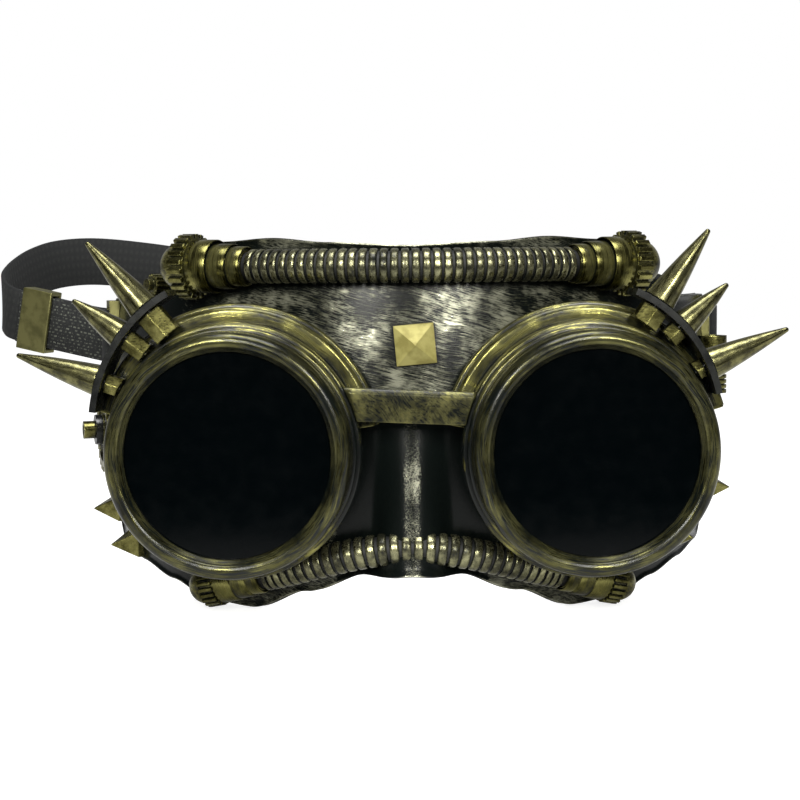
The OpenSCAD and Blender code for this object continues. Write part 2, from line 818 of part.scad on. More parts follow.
// The fold round the temple's edge bar, from the outside of the mask to the inside
fold = [
    [fold_at + 5.3, outer_fold_r], [fold_at + 3.4, outer_fold_r], [fold_at + 1.4, outer_fold_r],
    [fold_at + 0.3, outer_fold_r - 0.5], [fold_at, outer_fold_r - 1.8], [fold_at, inner_fold_r + 1.6],
    [fold_at + 0.4, inner_fold_r + 0.4], [fold_at + 1.6, inner_fold_r], [fold_at + 4.3, inner_fold_r]
];
function fold_points(s) = [
    for (f = fold) let (p = wrap_point(f[0], f[1], lug_z)) [s * p[0], p[1], p[2]]
];
// From the straight stretch's end round the left turn, each as a step from that end
left_turn = [
    [-3.4, 2.3, 1.3], [-5.8, 6.8, 3.3], [-6.6, 13.3, 5.9],
    [-5.4, 22.3, 8.9], [-1.9, 32.3, 12.2], [4.2, 41.3, 14.7]
];
back_run = [
    [-101, 149, 35], [-86, 155, 33.5], [-66, 159, 30.5], [-42, 161, 27.5], [-14, 161.5, 25],
    [14, 160.5, 23.2], [40, 157, 21.6], [60, 150, 19.4], [74, 139, 16.9], [82.5, 124, 14.9]
];
right_run = [
    from_lug(20.1, 0.3, 14), from_lug(12.8, -0.7, 14), from_lug(9.1, -1.35, 14), from_lug(6.3, -2.4, 14)
];
right_tab = [from_lug(9.3, 1.5, 14), from_lug(12.9, 1.5, 14), from_lug(16.8, 1.75, 14)];
strap_route = concat(
    [on_stretch(strap_straight - 1, -1), on_stretch(14, -1), on_stretch(0, -1)],
    fold_points(-1),
    [mirrored_point(from_lug(6.3, -2.4, 14.1))],
    [on_stretch(0, 1), on_stretch(14, 1), on_stretch(strap_straight, 1)],
    [for (p = left_turn) on_stretch(strap_straight, 1) + p],
    back_run,
    right_run,
    reversed(fold_points(1)),
    right_tab
);
// A smooth curve from point i to the next, with slopes as long as that stretch
function spline(p, i, t) =
    let (
        a = p[max(i - 1, 0)],
        b = p[i],
        c = p[i + 1],
        d = p[min(i + 2, len(p) - 1)],
        l = norm(c - b)
    )
    (2 * t * t * t - 3 * t * t + 1) * b + (t * t * t - 2 * t * t + t) * l * unit(c - a)
    + (3 * t * t - 2 * t * t * t) * c + (t * t * t - t * t) * l * unit(d - b);
strap_path = concat(
    [for (i = [0:len(strap_route) - 2], k = [0:strap_steps - 1]) spline(strap_route, i, k / strap_steps)],
    [strap_route[len(strap_route) - 1]]
);
function strap_ring(p, t) =
    let (n = unit([-t[1], t[0], 0]) * strap_t / 2, w = cross(t, unit([-t[1], t[0], 0])) * strap_w / 2)
    [p + n + w, p - n + w, p - n - w, p + n - w];
module strap() {
    n = len(strap_path);
    points = [for (i = [0:n - 1]) each strap_ring(strap_path[i], tangent(strap_path, i))];
    sides = [
        for (i = [0:n - 2], k = [0:3])
            let (a = 4 * i + k, b = 4 * i + (k + 1) % 4)
            each [[a, b, a + 4], [b, b + 4, a + 4]]
    ];
    last = 4 * (n - 1);
    color(black) polyhedron(
        points = points,
        faces = concat(sides, [[0, 2, 1], [0, 3, 2], [last, last + 1, last + 2], [last, last + 2, last + 3]])
    );
}

module strap_slider() {
    inner = [slider_l + 2, 2 * strap_t + layer_gap + 2 * strap_gap, strap_w + 2 * strap_gap];
    outer = [slider_l, inner[1] + 2 * slider_wall, inner[2] + 2 * slider_wall];
    heading = atan2(strap_dir[1], strap_dir[0]);
    color(satin_brass)
        translate(strap_from + slider_at * strap_dir)
            rotate([0, -asin(strap_dir[2]), heading])
                difference() {
                    cube(outer, center = true);
                    cube(inner, center = true);
                }
}

face_shell();
bridge_bar();
forehead_stud();
side(-1) eyecup();  // left_eyecup
side(1) eyecup();  // right_eyecup
side(-1) lens();  // left_lens
side(1) lens();  // right_lens
side(-1) bezel();  // left_bezel
side(1) bezel();  // right_bezel
brow_hose();
side(-1) brow_cuffs();  // left_brow_cuffs
side(1) brow_cuffs();  // right_brow_cuffs
side(-1) brow_gear();  // left_brow_gear
side(1) brow_gear();  // right_brow_gear
side(-1) brow_cap();  // left_brow_cap
side(1) brow_cap();  // right_brow_cap
nose_hose();
side(-1) cheek_cuffs();  // left_cheek_cuffs
side(1) cheek_cuffs();  // right_cheek_cuffs
side(-1) cheek_gear();  // left_cheek_gear
side(1) cheek_gear();  // right_cheek_gear
side(-1) cheek_cap();  // left_cheek_cap
side(1) cheek_cap();  // right_cheek_cap
side(-1) spike_band(-left_band_turn, left_band_r);  // left_spike_band
side(1) spike_band(right_band_turn, right_band_r);  // right_spike_band
side(-1) spike_nuts(-left_band_turn, left_band_r);  // left_spike_nuts
side(1) spike_nuts(right_band_turn, right_band_r);  // right_spike_nuts
side(-1) spike(-left_band_turn, left_band_r, 0, spike_l, spike_d);  // left_upper_spike
side(-1) spike(-left_band_turn, left_band_r, 1, short_spike_l, short_spike_d);  // left_middle_spike
side(-1) spike(-left_band_turn, left_band_r, 2, spike_l, spike_d);  // left_lower_spike
side(1) spike(right_band_turn, right_band_r, 0, spike_l, spike_d);  // right_upper_spike
side(1) spike(right_band_turn, right_band_r, 1, short_spike_l, short_spike_d);  // right_middle_spike
side(1) spike(right_band_turn, right_band_r, 2, spike_l, spike_d);  // right_lower_spike
side(-1) side_studs(left_stud_places);  // left_side_studs
side(1) side_studs(right_stud_places);  // right_side_studs
side(-1) temple_gear();  // left_temple_gear
side(-1) temple_washer();  // left_temple_washer
side(-1) temple_bolt();  // left_temple_bolt
side(-1) side_knob();  // left_side_knob
side(1) canister();  // right_canister
side(-1) strap_lug();  // left_strap_lug
side(1) strap_lug();  // right_strap_lug
strap();
strap_slider();
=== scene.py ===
# %% [markdown]
# Steampunk goggles, dressed in Blender around the imported CAD part. The real object is a moulded black
# half mask, dry-brushed with brass paint: the brush leaves paint on the edges and crests and none in
# the recesses. Here the bare recesses are also painted shade. It carries two round eyecups with
# screwed-on bezels. The frame is the CAD's, in metres: X to the right, Y away from the viewer, Z up.
# Sizes are written in millimetres, and MM turns them to metres where a mesh or a pattern is made.

# %% Load the frame
import math

import bmesh
import bpy
from mathutils import Matrix, Vector


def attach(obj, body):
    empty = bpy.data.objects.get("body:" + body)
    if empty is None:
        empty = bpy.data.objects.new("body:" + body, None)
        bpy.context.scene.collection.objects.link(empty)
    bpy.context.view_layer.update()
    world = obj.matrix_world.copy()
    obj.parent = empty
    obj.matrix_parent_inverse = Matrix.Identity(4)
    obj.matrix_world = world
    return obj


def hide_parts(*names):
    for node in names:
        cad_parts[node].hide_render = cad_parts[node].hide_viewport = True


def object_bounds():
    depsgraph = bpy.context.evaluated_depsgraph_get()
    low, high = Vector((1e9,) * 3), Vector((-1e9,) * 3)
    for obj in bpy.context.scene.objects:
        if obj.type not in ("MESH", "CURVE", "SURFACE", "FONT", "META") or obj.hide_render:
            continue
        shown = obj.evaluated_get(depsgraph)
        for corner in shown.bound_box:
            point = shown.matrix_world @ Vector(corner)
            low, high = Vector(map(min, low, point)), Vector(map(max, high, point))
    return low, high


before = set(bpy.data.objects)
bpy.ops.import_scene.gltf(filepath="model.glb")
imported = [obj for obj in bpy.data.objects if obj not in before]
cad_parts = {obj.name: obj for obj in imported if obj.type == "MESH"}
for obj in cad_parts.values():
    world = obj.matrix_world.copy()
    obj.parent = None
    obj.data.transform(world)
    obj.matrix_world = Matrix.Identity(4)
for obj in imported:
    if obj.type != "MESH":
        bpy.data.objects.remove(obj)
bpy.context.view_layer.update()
MM = 0.001
ROOT = "goggles"

# %% [markdown]
# The camera stands where the photographer's did. Its distance and pitch were fitted to the round
# bezels, whose true shape is known: a circle's tilt and its change of size with depth give both.

# %% Camera
CAMERA_PLACE = Vector((-2.83, -427.5, 37.3)) * MM
CAMERA_PITCH = math.radians(4.75)
CAMERA_ROLL = math.radians(0.45)
FOCAL_PIXELS = 1781
FRAME_PIXELS = 800
SENSOR = 36
CLIP_START, CLIP_END = 0.01, 50

camera_data = bpy.data.cameras.new("camera")
camera_data.sensor_width = SENSOR
camera_data.lens = FOCAL_PIXELS * SENSOR / FRAME_PIXELS
camera_data.clip_start = CLIP_START
camera_data.clip_end = CLIP_END
camera = bpy.data.objects.new("camera", camera_data)
bpy.context.collection.objects.link(camera)
look = Matrix.Rotation(math.radians(90) - CAMERA_PITCH, 4, "X") @ Matrix.Rotation(-CAMERA_ROLL, 4, "Z")
camera.matrix_world = Matrix.Translation(CAMERA_PLACE) @ look
bpy.context.scene.camera = camera
bpy.context.scene.view_settings.view_transform = "Standard"
print("lens", round(camera_data.lens, 2), "mm")

# %% [markdown]
# Colours are written as sRGB hex, the way a painter's chart gives them. The shader wants linear values.
# One small function adds a node, sets it and links it, so that a material reads from top to bottom.


# %% Colour and node helpers
def srgb(text):
    values = [int(text[i:i + 2], 16) / 255 for i in (1, 3, 5)]
    return tuple(v / 12.92 if v <= 0.04045 else ((v + 0.055) / 1.055) ** 2.4 for v in values) + (1.0,)


def add(tree, kind, settings=None, inputs=None):
    node = tree.nodes.new(kind)
    for key, value in (settings or {}).items():
        setattr(node, key, value)
    for key, value in (inputs or {}).items():
        if isinstance(value, bpy.types.NodeSocket):
            tree.links.new(value, node.inputs[key])
        else:
            node.inputs[key].default_value = value
    return node


def new_material(name):
    material = bpy.data.materials.new(name)
    material.use_nodes = True
    material.node_tree.nodes.clear()
    return material, material.node_tree


def finish_material(tree, shader):
    add(tree, "ShaderNodeOutputMaterial", None, {"Surface": shader.outputs[0]})


# %% [markdown]
# The dry-brushed finish is one recipe in four steps. A stiff brush drags nearly dry paint over black
# plastic. So the paint lies in streaks along the stroke, gathers on edges and misses the recesses, whose
# bare black is partly painted shade. The first step is the streaks: noise stretched along the stroke,
# and bent a little by a broader noise. Where only the brush's tip touches, the streaks turn to dots.

# %% Brush strokes
DRIFT_MM, STIPPLE_MM = 16, 0.24


def brush_strokes(tree, where, stretch, turn, streak_mm, wander, dotted):
    drift = add(tree, "ShaderNodeTexNoise", None, {
        "Vector": where, "Scale": 1 / (DRIFT_MM * MM), "Detail": 1.0})
    warped = add(tree, "ShaderNodeVectorMath", {"operation": "MULTIPLY_ADD"},
                 {0: drift.outputs["Color"], 1: (wander * MM, wander * MM, wander * MM), 2: where})
    along = add(tree, "ShaderNodeMapping", {"vector_type": "TEXTURE"},
                {"Vector": warped.outputs[0], "Rotation": turn, "Scale": tuple(1 / s for s in stretch)})
    strokes = add(tree, "ShaderNodeTexNoise", None, {
        "Vector": along.outputs[0], "Scale": 1 / (streak_mm * MM), "Detail": 5.0, "Roughness": 0.62})
    stipple = add(tree, "ShaderNodeTexNoise", None, {
        "Vector": where, "Scale": 1 / (STIPPLE_MM * MM), "Detail": 2.0})
    streaks = add(tree, "ShaderNodeMix", {"data_type": "FLOAT"}, {
        "Factor": dotted, "A": strokes.outputs[0], "B": stipple.outputs[0]})
    return streaks.outputs["Result"]


# %% [markdown]
# The two hollows beside the nose are left nearly bare as painted shade, except on the nose's crest.
# The mask's sides are left partly bare, more so towards the outside. Those places are distances from
# the middle of the face, each with a soft edge.

# %% Painted shade and bare places
# Painted shade: the hollows beside the nose lose their paint. The mask's sides are left partly bare.
HOLLOW_SIDE, HOLLOW_TOP = (21 * MM, 14 * MM), (-1 * MM, -6 * MM)
CREST_SIDE, MASK_SIDE = (1.4 * MM, 4.4 * MM), (50 * MM, 66 * MM)
CREST_BARE, SIDE_BARE = 0.04, 0.35


def shade_and_bare_places(tree, place):
    """The two recesses beside the nose, left bare as painted shade, and all the places that stay bare, each
    as a mask from 0 to 1.
    """
    spot = add(tree, "ShaderNodeSeparateXYZ", None, {0: place})
    across = add(tree, "ShaderNodeMath", {"operation": "ABSOLUTE"}, {0: spot.outputs["X"]})
    inside = add(tree, "ShaderNodeMapRange", {"interpolation_type": "SMOOTHSTEP"}, {
        "Value": across.outputs[0], "From Min": HOLLOW_SIDE[0], "From Max": HOLLOW_SIDE[1]})
    below = add(tree, "ShaderNodeMapRange", {"interpolation_type": "SMOOTHSTEP"}, {
        "Value": spot.outputs["Z"], "From Min": HOLLOW_TOP[0], "From Max": HOLLOW_TOP[1]})
    hollow_shade = add(tree, "ShaderNodeMath", {"operation": "MULTIPLY"},
                  {0: inside.outputs[0], 1: below.outputs[0]})
    crest = add(tree, "ShaderNodeMapRange", {"interpolation_type": "SMOOTHSTEP"}, {
        "Value": across.outputs[0], "From Min": CREST_SIDE[0], "From Max": CREST_SIDE[1],
        "To Min": CREST_BARE})
    shaded = add(tree, "ShaderNodeMath", {"operation": "MULTIPLY"},
                 {0: hollow_shade.outputs[0], 1: crest.outputs[0]})
    sides = add(tree, "ShaderNodeMapRange", {"interpolation_type": "SMOOTHSTEP"}, {
        "Value": across.outputs[0], "From Min": MASK_SIDE[0], "From Max": MASK_SIDE[1],
        "To Max": SIDE_BARE})
    bare = add(tree, "ShaderNodeMath", {"operation": "MAXIMUM"}, {0: shaded.outputs[0], 1: sides.outputs[0]})
    return hollow_shade.outputs[0], bare.outputs[0]


# %% [markdown]
# Paint gathers on edges. The Bevel node's rounded normal differs from the true one near an edge, and
# Pointiness is high on a crest. Paint misses what lies deep, which Ambient Occlusion finds, and that
# bare black is partly the brush's real miss and partly painted shade.

# %% Edges and recesses
EDGE_TURN, CREST_POINT, OPEN_TO_DEEP = (0.995, 0.86), (0.53, 0.6), (0.85, 0.3)


def edges_and_recesses(tree, rounded_normal, edge, recess_mm, recess):
    """How much paint the edges gain, and how much the recesses lose as the brush's miss and as painted shade.
    """
    geometry = add(tree, "ShaderNodeNewGeometry")
    same = add(tree, "ShaderNodeVectorMath", {"operation": "DOT_PRODUCT"},
               {0: rounded_normal, 1: geometry.outputs["Normal"]})
    worn = add(tree, "ShaderNodeMapRange", None, {
        "Value": same.outputs["Value"], "From Min": EDGE_TURN[0], "From Max": EDGE_TURN[1],
        "To Max": edge})
    pointed = add(tree, "ShaderNodeMapRange", None, {
        "Value": geometry.outputs["Pointiness"], "From Min": CREST_POINT[0], "From Max": CREST_POINT[1],
        "To Max": edge})
    rubbed = add(tree, "ShaderNodeMath", {"operation": "MAXIMUM"},
                 {0: worn.outputs[0], 1: pointed.outputs[0]})
    # Painted shade, partly real: Ambient Occlusion finds the recesses, which then lose paint.
    hollow = add(tree, "ShaderNodeAmbientOcclusion", {"samples": 6}, {"Distance": recess_mm * MM})
    deep_miss_and_shade = add(tree, "ShaderNodeMapRange", None, {
        "Value": hollow.outputs["AO"], "From Min": OPEN_TO_DEEP[0], "From Max": OPEN_TO_DEEP[1],
        "To Max": recess})
    return rubbed.outputs[0], deep_miss_and_shade.outputs[0]


# %% [markdown]
# The last step adds these up to one mask of paint on plastic. Paint is metallic and its tone changes in
# patches, as it was mixed or rubbed. Bare plastic is a green-black and glossier. Lathe-made pieces carry
# an attribute that follows the surface, and the others use Object coordinates.

# %% Dry-brushed brass
BARE_FROM = 1.9
BARE_PLASTIC, BARE_ROUGH = "#090d0c", 0.24
EDGE_R, BRUSH_DEPTH = 0.45, 0.12
PAINT_STOPS, STREAK_SPAN = (0.35, 0.68), (0.3, 0.7)
ROUGHER, GLOSSIER = 0.09, 0.07


def dry_brushed(name, paint, shine, attribute=None, stretch=(1.0, 1.0, 1.0), turn=(0, 0, 0),
                streak_mm=0.45, patch_mm=9.0, wander=0.0, cover=0.5, edge=1.6, recess_mm=4.0, recess=1.3,
                rough=0.3, grain=0.25, bare=0.0, specular=0.3, patchy=2.0, strokes_weight=2.6):
    material, tree = new_material(name)
    place = add(tree, "ShaderNodeTexCoord").outputs["Object"]
    where = place
    if attribute:
        where = add(tree, "ShaderNodeAttribute", {"attribute_name": attribute}).outputs["Vector"]
    # The hollows beside the nose come back as painted shade, and the mask's sides as partly bare places.
    hollow_shade, shade_and_bare = shade_and_bare_places(tree, place)
    dotted = add(tree, "ShaderNodeMath", {"operation": "MULTIPLY"}, {0: hollow_shade, 1: min(bare, 1.0)})
    streaks = brush_strokes(tree, where, stretch, turn, streak_mm, wander, dotted.outputs[0])
    patches = add(tree, "ShaderNodeTexNoise", None, {
        "Vector": where, "Scale": 1 / (patch_mm * MM), "Detail": 4.0, "Roughness": 0.6})
    bevel = add(tree, "ShaderNodeBevel", {"samples": 6}, {"Radius": EDGE_R * MM})
    rubbed, deep_miss_and_shade = edges_and_recesses(tree, bevel.outputs[0], edge, recess_mm, recess)
    mixed = add(tree, "ShaderNodeMath", {"operation": "MULTIPLY_ADD"},
                {0: streaks, 1: strokes_weight, 2: cover - BARE_FROM})
    patched = add(tree, "ShaderNodeMath", {"operation": "MULTIPLY_ADD"},
                  {0: patches.outputs[0], 1: patchy, 2: mixed.outputs[0]})
    edged = add(tree, "ShaderNodeMath", {"operation": "ADD"}, {0: patched.outputs[0], 1: rubbed})
    # Painted shade, partly real: the recesses lose paint.
    recess_miss_and_shade = add(tree, "ShaderNodeMath", {"operation": "SUBTRACT"}, {0: edged.outputs[0], 1: deep_miss_and_shade})
    # Painted shade: the hollows beside the nose lose paint, and the mask's sides lose some.
    bared = add(tree, "ShaderNodeMath", {"operation": "MULTIPLY"}, {0: shade_and_bare, 1: bare})
    paint_on = add(tree, "ShaderNodeMath", {"operation": "SUBTRACT", "use_clamp": True},
                   {0: recess_miss_and_shade.outputs[0], 1: bared.outputs[0]})
    tones = add(tree, "ShaderNodeValToRGB", None, {"Fac": patches.outputs[0]})
    for stop, position, tone in zip(tones.color_ramp.elements, PAINT_STOPS, (paint, shine)):
        stop.position = position
        stop.color = srgb(tone)
    colour = add(tree, "ShaderNodeMix", {"data_type": "RGBA"}, {
        "Factor": paint_on.outputs[0], "A": srgb(BARE_PLASTIC), "B": tones.outputs[0]})
    roughness = add(tree, "ShaderNodeMapRange", None, {
        "Value": streaks, "From Min": STREAK_SPAN[0], "From Max": STREAK_SPAN[1],
        "To Min": rough + ROUGHER, "To Max": rough - GLOSSIER})
    both = add(tree, "ShaderNodeMix", {"data_type": "FLOAT"}, {
        "Factor": paint_on.outputs[0], "A": BARE_ROUGH, "B": roughness.outputs[0]})
    height = add(tree, "ShaderNodeBump", None, {
        "Height": streaks, "Strength": grain, "Distance": BRUSH_DEPTH * MM, "Normal": bevel.outputs[0]})
    shader = add(tree, "ShaderNodeBsdfPrincipled", None, {
        "Base Color": colour.outputs["Result"], "Metallic": paint_on.outputs[0],
        "Roughness": both.outputs["Result"], "Specular IOR Level": specular, "Normal": height.outputs[0]})
    finish_material(tree, shader)
    return material


# %% [markdown]
# Each group of pieces has its own strokes. They run across the forehead, round the cups and bezels and
# from foot to tip on the spikes. The settings were matched to the object piece by piece.

# %% Dry-brushed finishes
AROUND = (0.05, 0.05, 1.0)
ALONG = (1.0, 1.0, 0.06)
# bare leaves the hollows beside the nose bare as painted shade, and the mask's sides partly bare.
brushed_mask = dry_brushed("dry_brushed_mask", "#4b4b34", "#cfcfb8", cover=-0.02, streak_mm=0.2,
                           stretch=(0.05, 0.2, 1.0), turn=(0, 0.25, 0), wander=3, patch_mm=7, rough=0.21,
                           grain=0.3, bare=2.4, specular=0.15, patchy=1.5)
brushed_cup = dry_brushed("dry_brushed_eyecup", "#3b391c", "#8a8650", attribute="brush", stretch=AROUND,
                          cover=0.2, edge=1.4, rough=0.25, patch_mm=7, recess_mm=1.6, wander=3, bare=0.9)
brushed_bezel = dry_brushed("dry_brushed_bezel", "#232213", "#6b6942", attribute="brush", stretch=AROUND,
                            cover=-0.85, rough=0.25, streak_mm=0.35, patch_mm=9, edge=0.9, recess_mm=2.0,
                            wander=3, patchy=0.8, strokes_weight=5.5)
brushed_spike = dry_brushed("dry_brushed_spike", "#3f3d28", "#858259", attribute="brush", stretch=ALONG,
                            cover=0.44, streak_mm=0.5, rough=0.25, patch_mm=4, edge=0.5, wander=1)
# recess takes paint off the recesses. This is partly the brush's real miss and partly painted shade.
brushed_fittings = dry_brushed("dry_brushed_fittings", "#474424", "#8f8b55", stretch=(0.4, 0.4, 1.0),
                               cover=0.28, streak_mm=0.5, patch_mm=4, rough=0.28, recess_mm=3.0,
                               recess=2.2, edge=1.2, wander=2)
brushed_bar = dry_brushed("dry_brushed_bar", "#37351f", "#7c794c", stretch=(0.08, 1.0, 1.0),
                          turn=(0, 0.6, 0), cover=-0.06, streak_mm=0.35, patch_mm=5, rough=0.32,
                          edge=1.8, wander=9)
brushed_rib = dry_brushed("dry_brushed_rib", "#414030", "#9a9876", stretch=(1.0, 1.0, 0.5), cover=0.4,
                          streak_mm=0.45, patch_mm=5, rough=0.27, recess_mm=1.8, recess=2.4, edge=0.0)
print("dry-brushed finishes made")

# %% [markdown]
# Solid brass is yellower than the paint. It has a satin surface, from a fine brush before lacquering.
# The brush leaves fine lines that run one way, and tarnish changes the tone in small patches. The
# slider is more tarnished than the stud.

# %% Satin brass
SATIN_STRETCH, SATIN_STOPS = (20.0, 1.0, 1.0), (0.36, 0.56)
TARNISH_MM, SATIN_EDGE_R, LINE_DEPTH = 3.5, 0.25, 0.05


def satin_metal(name, colour, shade, rough, line_mm, metal):
    material, tree = new_material(name)
    where = add(tree, "ShaderNodeTexCoord").outputs["Object"]
    along = add(tree, "ShaderNodeMapping", {"vector_type": "TEXTURE"},
                {"Vector": where, "Scale": SATIN_STRETCH})
    lines = add(tree, "ShaderNodeTexNoise", None, {
        "Vector": along.outputs[0], "Scale": 1 / (line_mm * MM), "Detail": 4.0})
    tarnish = add(tree, "ShaderNodeTexNoise", None, {
        "Vector": where, "Scale": 1 / (TARNISH_MM * MM), "Detail": 4.0})
    tones = add(tree, "ShaderNodeValToRGB", None, {"Fac": tarnish.outputs[0]})
    for stop, position, tone in zip(tones.color_ramp.elements, SATIN_STOPS, (shade, colour)):
        stop.position = position
        stop.color = srgb(tone)
    roughness = add(tree, "ShaderNodeMapRange", None, {
        "Value": lines.outputs[0], "From Min": 0.3, "From Max": 0.7,
        "To Min": rough - 0.06, "To Max": rough + 0.1})
    bevel = add(tree, "ShaderNodeBevel", {"samples": 6}, {"Radius": SATIN_EDGE_R * MM})
    height = add(tree, "ShaderNodeBump", None, {
        "Height": lines.outputs[0], "Strength": 0.15, "Distance": LINE_DEPTH * MM,
        "Normal": bevel.outputs[0]})
    shader = add(tree, "ShaderNodeBsdfPrincipled", None, {
        "Base Color": tones.outputs[0], "Metallic": metal, "Roughness": roughness.outputs[0],
        "Normal": height.outputs[0]})
    finish_material(tree, shader)
    return material


satin_brass = satin_metal("satin_brass", "#b3ab6a", "#958d50", 0.52, 0.18, 0.35)
slider_brass = satin_metal("tarnished_brass", "#77744a", "#5d5b38", 0.38, 0.25, 0.8)
print("satin brass made")

# %% [markdown]
# The black pieces are moulded plastic with a little gloss and a few scuffs. The lenses are smoked, so
# dark that they show only a faint reflection. The grooves of the hoses are the same plastic as the
# mask, made darker and matt as painted shade, because no brush and no light gets into them.

# %% Moulded plastic
SCUFF_MM, SCUFF_STOPS, GRAIN_DEPTH = 4, (0.45, 0.75), 0.05


def moulded_plastic(name, colour, scuff, rough, grain_mm, bump, specular=0.5):
    material, tree = new_material(name)
    where = add(tree, "ShaderNodeTexCoord").outputs["Object"]
    grain = add(tree, "ShaderNodeTexNoise", None, {
        "Vector": where, "Scale": 1 / (grain_mm * MM), "Detail": 4.0})
    scuffs = add(tree, "ShaderNodeTexNoise", None, {
        "Vector": where, "Scale": 1 / (SCUFF_MM * MM), "Detail": 5.0})
    tones = add(tree, "ShaderNodeValToRGB", None, {"Fac": scuffs.outputs[0]})
    for stop, position, tone in zip(tones.color_ramp.elements, SCUFF_STOPS, (colour, scuff)):
        stop.position = position
        stop.color = srgb(tone)
    roughness = add(tree, "ShaderNodeMapRange", None, {
        "Value": scuffs.outputs[0], "To Min": rough - 0.08, "To Max": rough + 0.12})
    height = add(tree, "ShaderNodeBump", None, {
        "Height": grain.outputs[0], "Strength": bump, "Distance": GRAIN_DEPTH * MM})
    shader = add(tree, "ShaderNodeBsdfPrincipled", None, {
        "Base Color": tones.outputs[0], "Roughness": roughness.outputs[0], "Specular IOR Level": specular,
        "Normal": height.outputs[0]})
    finish_material(tree, shader)
    return material


black_plastic = moulded_plastic("black_abs", "#070909", "#161815", 0.25, 0.3, 0.1)
# Painted shade: the groove core is darker and matter than the bare mask plastic.
groove_shade_black = moulded_plastic("groove_shade_black", "#040505", "#070808", 0.6, 0.3, 0.1)
smoked = moulded_plastic("smoked_polycarbonate", "#010304", "#010304", 0.14, 2.5, 0.0, 0.1)
print("moulded plastic made")

# %% [markdown]
# Every piece becomes an object in the same way. Doubled points are merged and normals turned outwards.
# Faces are shaded smooth, and edges that are sharper than a given angle stay crisp.


# %% Mesh maker
def make_object(name, verts, faces, material, brush=None, sharp=32, recalculate=True):
    mesh = bpy.data.meshes.new(name)
    mesh.from_pydata([tuple(v) for v in verts], [], faces)
    if brush:
        layer = mesh.attributes.new("brush", "FLOAT_VECTOR", "POINT")
        layer.data.foreach_set("vector", [c for v in brush for c in v])
    if recalculate:
        shape = bmesh.new()
        shape.from_mesh(mesh)
        bmesh.ops.remove_doubles(shape, verts=shape.verts, dist=1e-7)
        bmesh.ops.recalc_face_normals(shape, faces=shape.faces)
        shape.to_mesh(mesh)
        shape.free()
    mesh.polygons.foreach_set("use_smooth", [True] * len(mesh.polygons))
    mesh.set_sharp_from_angle(angle=math.radians(sharp))
    obj = bpy.data.objects.new(name, mesh)
    bpy.context.collection.objects.link(obj)
    mesh.materials.append(material)
    return obj


# %% [markdown]
# Most pieces of goggles are turned: rings, lips, domes and spikes. A lathe helper revolves a profile
# about an axis. Corners are rounded first, because a real moulding has no sharp edge and a round one
# catches light. Each point keeps its place on the surface in the attribute that the finishes read.


# %% Rounded outlines and the lathe
def rounded(points, radius, steps=4):
    """A closed outline with each corner cut back and eased round."""
    out = []
    count = len(points)
    for i, corner in enumerate(points):
        here = Vector(corner)
        before = Vector(points[i - 1]) - here
        after = Vector(points[(i + 1) % count]) - here
        size = radius[i] if isinstance(radius, (list, tuple)) else radius
        cut = min(size, before.length * 0.45, after.length * 0.45)
        if cut <= 0:
            out.append(tuple(here))
            continue
        a = here + before.normalized() * cut
        b = here + after.normalized() * cut
        for k in range(steps + 1):
            t = k / steps
            p = a * (1 - t) ** 2 + here * 2 * t * (1 - t) + b * t ** 2
            out.append(tuple(p))
    return out


def lathe(profile, place, turns, start=0.0, end=360.0):
    """Revolves a closed outline of (radius, depth) in millimetres. place maps local x, y, z to metres."""
    full = abs(end - start) >= 359.9
    rows = turns if full else turns + 1
    count = len(profile)
    lengths = [0.0]
    for i in range(1, count):
        lengths.append(lengths[-1] + math.dist(profile[i], profile[i - 1]))
    verts, brush, faces = [], [], []
    for k in range(rows):
        angle = math.radians(start + (end - start) * k / turns)
        c, s = math.cos(angle), math.sin(angle)
        for (r, u), run in zip(profile, lengths):
            verts.append(place(r * c, r * s, u))
            brush.append((r * c * MM, r * s * MM, run * MM))
    for k in range(turns):
        a, b = k * count, ((k + 1) % rows) * count
        for i in range(count):
            j = (i + 1) % count
            faces.append((a + i, a + j, b + j, b + i))
    if not full:
        faces.append(tuple(range(count)))
        faces.append(tuple(range((rows - 1) * count, rows * count)))
    return verts, faces, brush


# %% [markdown]
# A boolean cuts one piece with others, and the result is kept as a plain mesh. Each finished piece is
# then given the body that carries it, and the CAD piece that it stands for is hidden.


# %% Carving and dressing
def carve(obj, cutters):
    """Cuts a piece with other meshes for good, and takes the cutters away."""
    for cutter in cutters:
        cut = obj.modifiers.new("cut", "BOOLEAN")
        cut.operation = "DIFFERENCE"
        cut.object = cutter
        cut.solver = "EXACT"
    evaluated = obj.evaluated_get(bpy.context.evaluated_depsgraph_get())
    carved = bpy.data.meshes.new_from_object(evaluated)
    obj.modifiers.clear()
    obj.data = carved
    for cutter in cutters:
        bpy.data.objects.remove(cutter)


def dressed(obj, body, node):
    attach(obj, body)
    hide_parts(node)


# %% [markdown]
# The two cups look four degrees outwards, one to each side. So a place on a cup is given along the
# cup's own axes, and mirrored for the other side. The mask wraps round an upright axis that stands in
# the middle of the head.

# %% Places on the goggles
SIDES = {"left": -1, "right": 1}
CUP_X, CUP_Y, CUP_Z, CUP_TOE = 44.5, -7.5, -11.0, math.radians(4)
WRAP_R, WRAP_Y, WALL = 87.0, 99.5, 2.0
AXIS = 0.01


def cup_place(side):
    """Local x and y lie across the cup, and local z runs from the bezel's front towards the face."""
    c, s = math.cos(CUP_TOE), math.sin(CUP_TOE)

    def place(x, y, z):
        return (side * (CUP_X + x * c - z * s) * MM, (CUP_Y + x * s + z * c) * MM, (CUP_Z - y) * MM)
    return place


def wrap_place(x, y, z):
    """Local z runs up the middle of the head, round which the mask wraps."""
    return (x * MM, (WRAP_Y + y) * MM, z * MM)


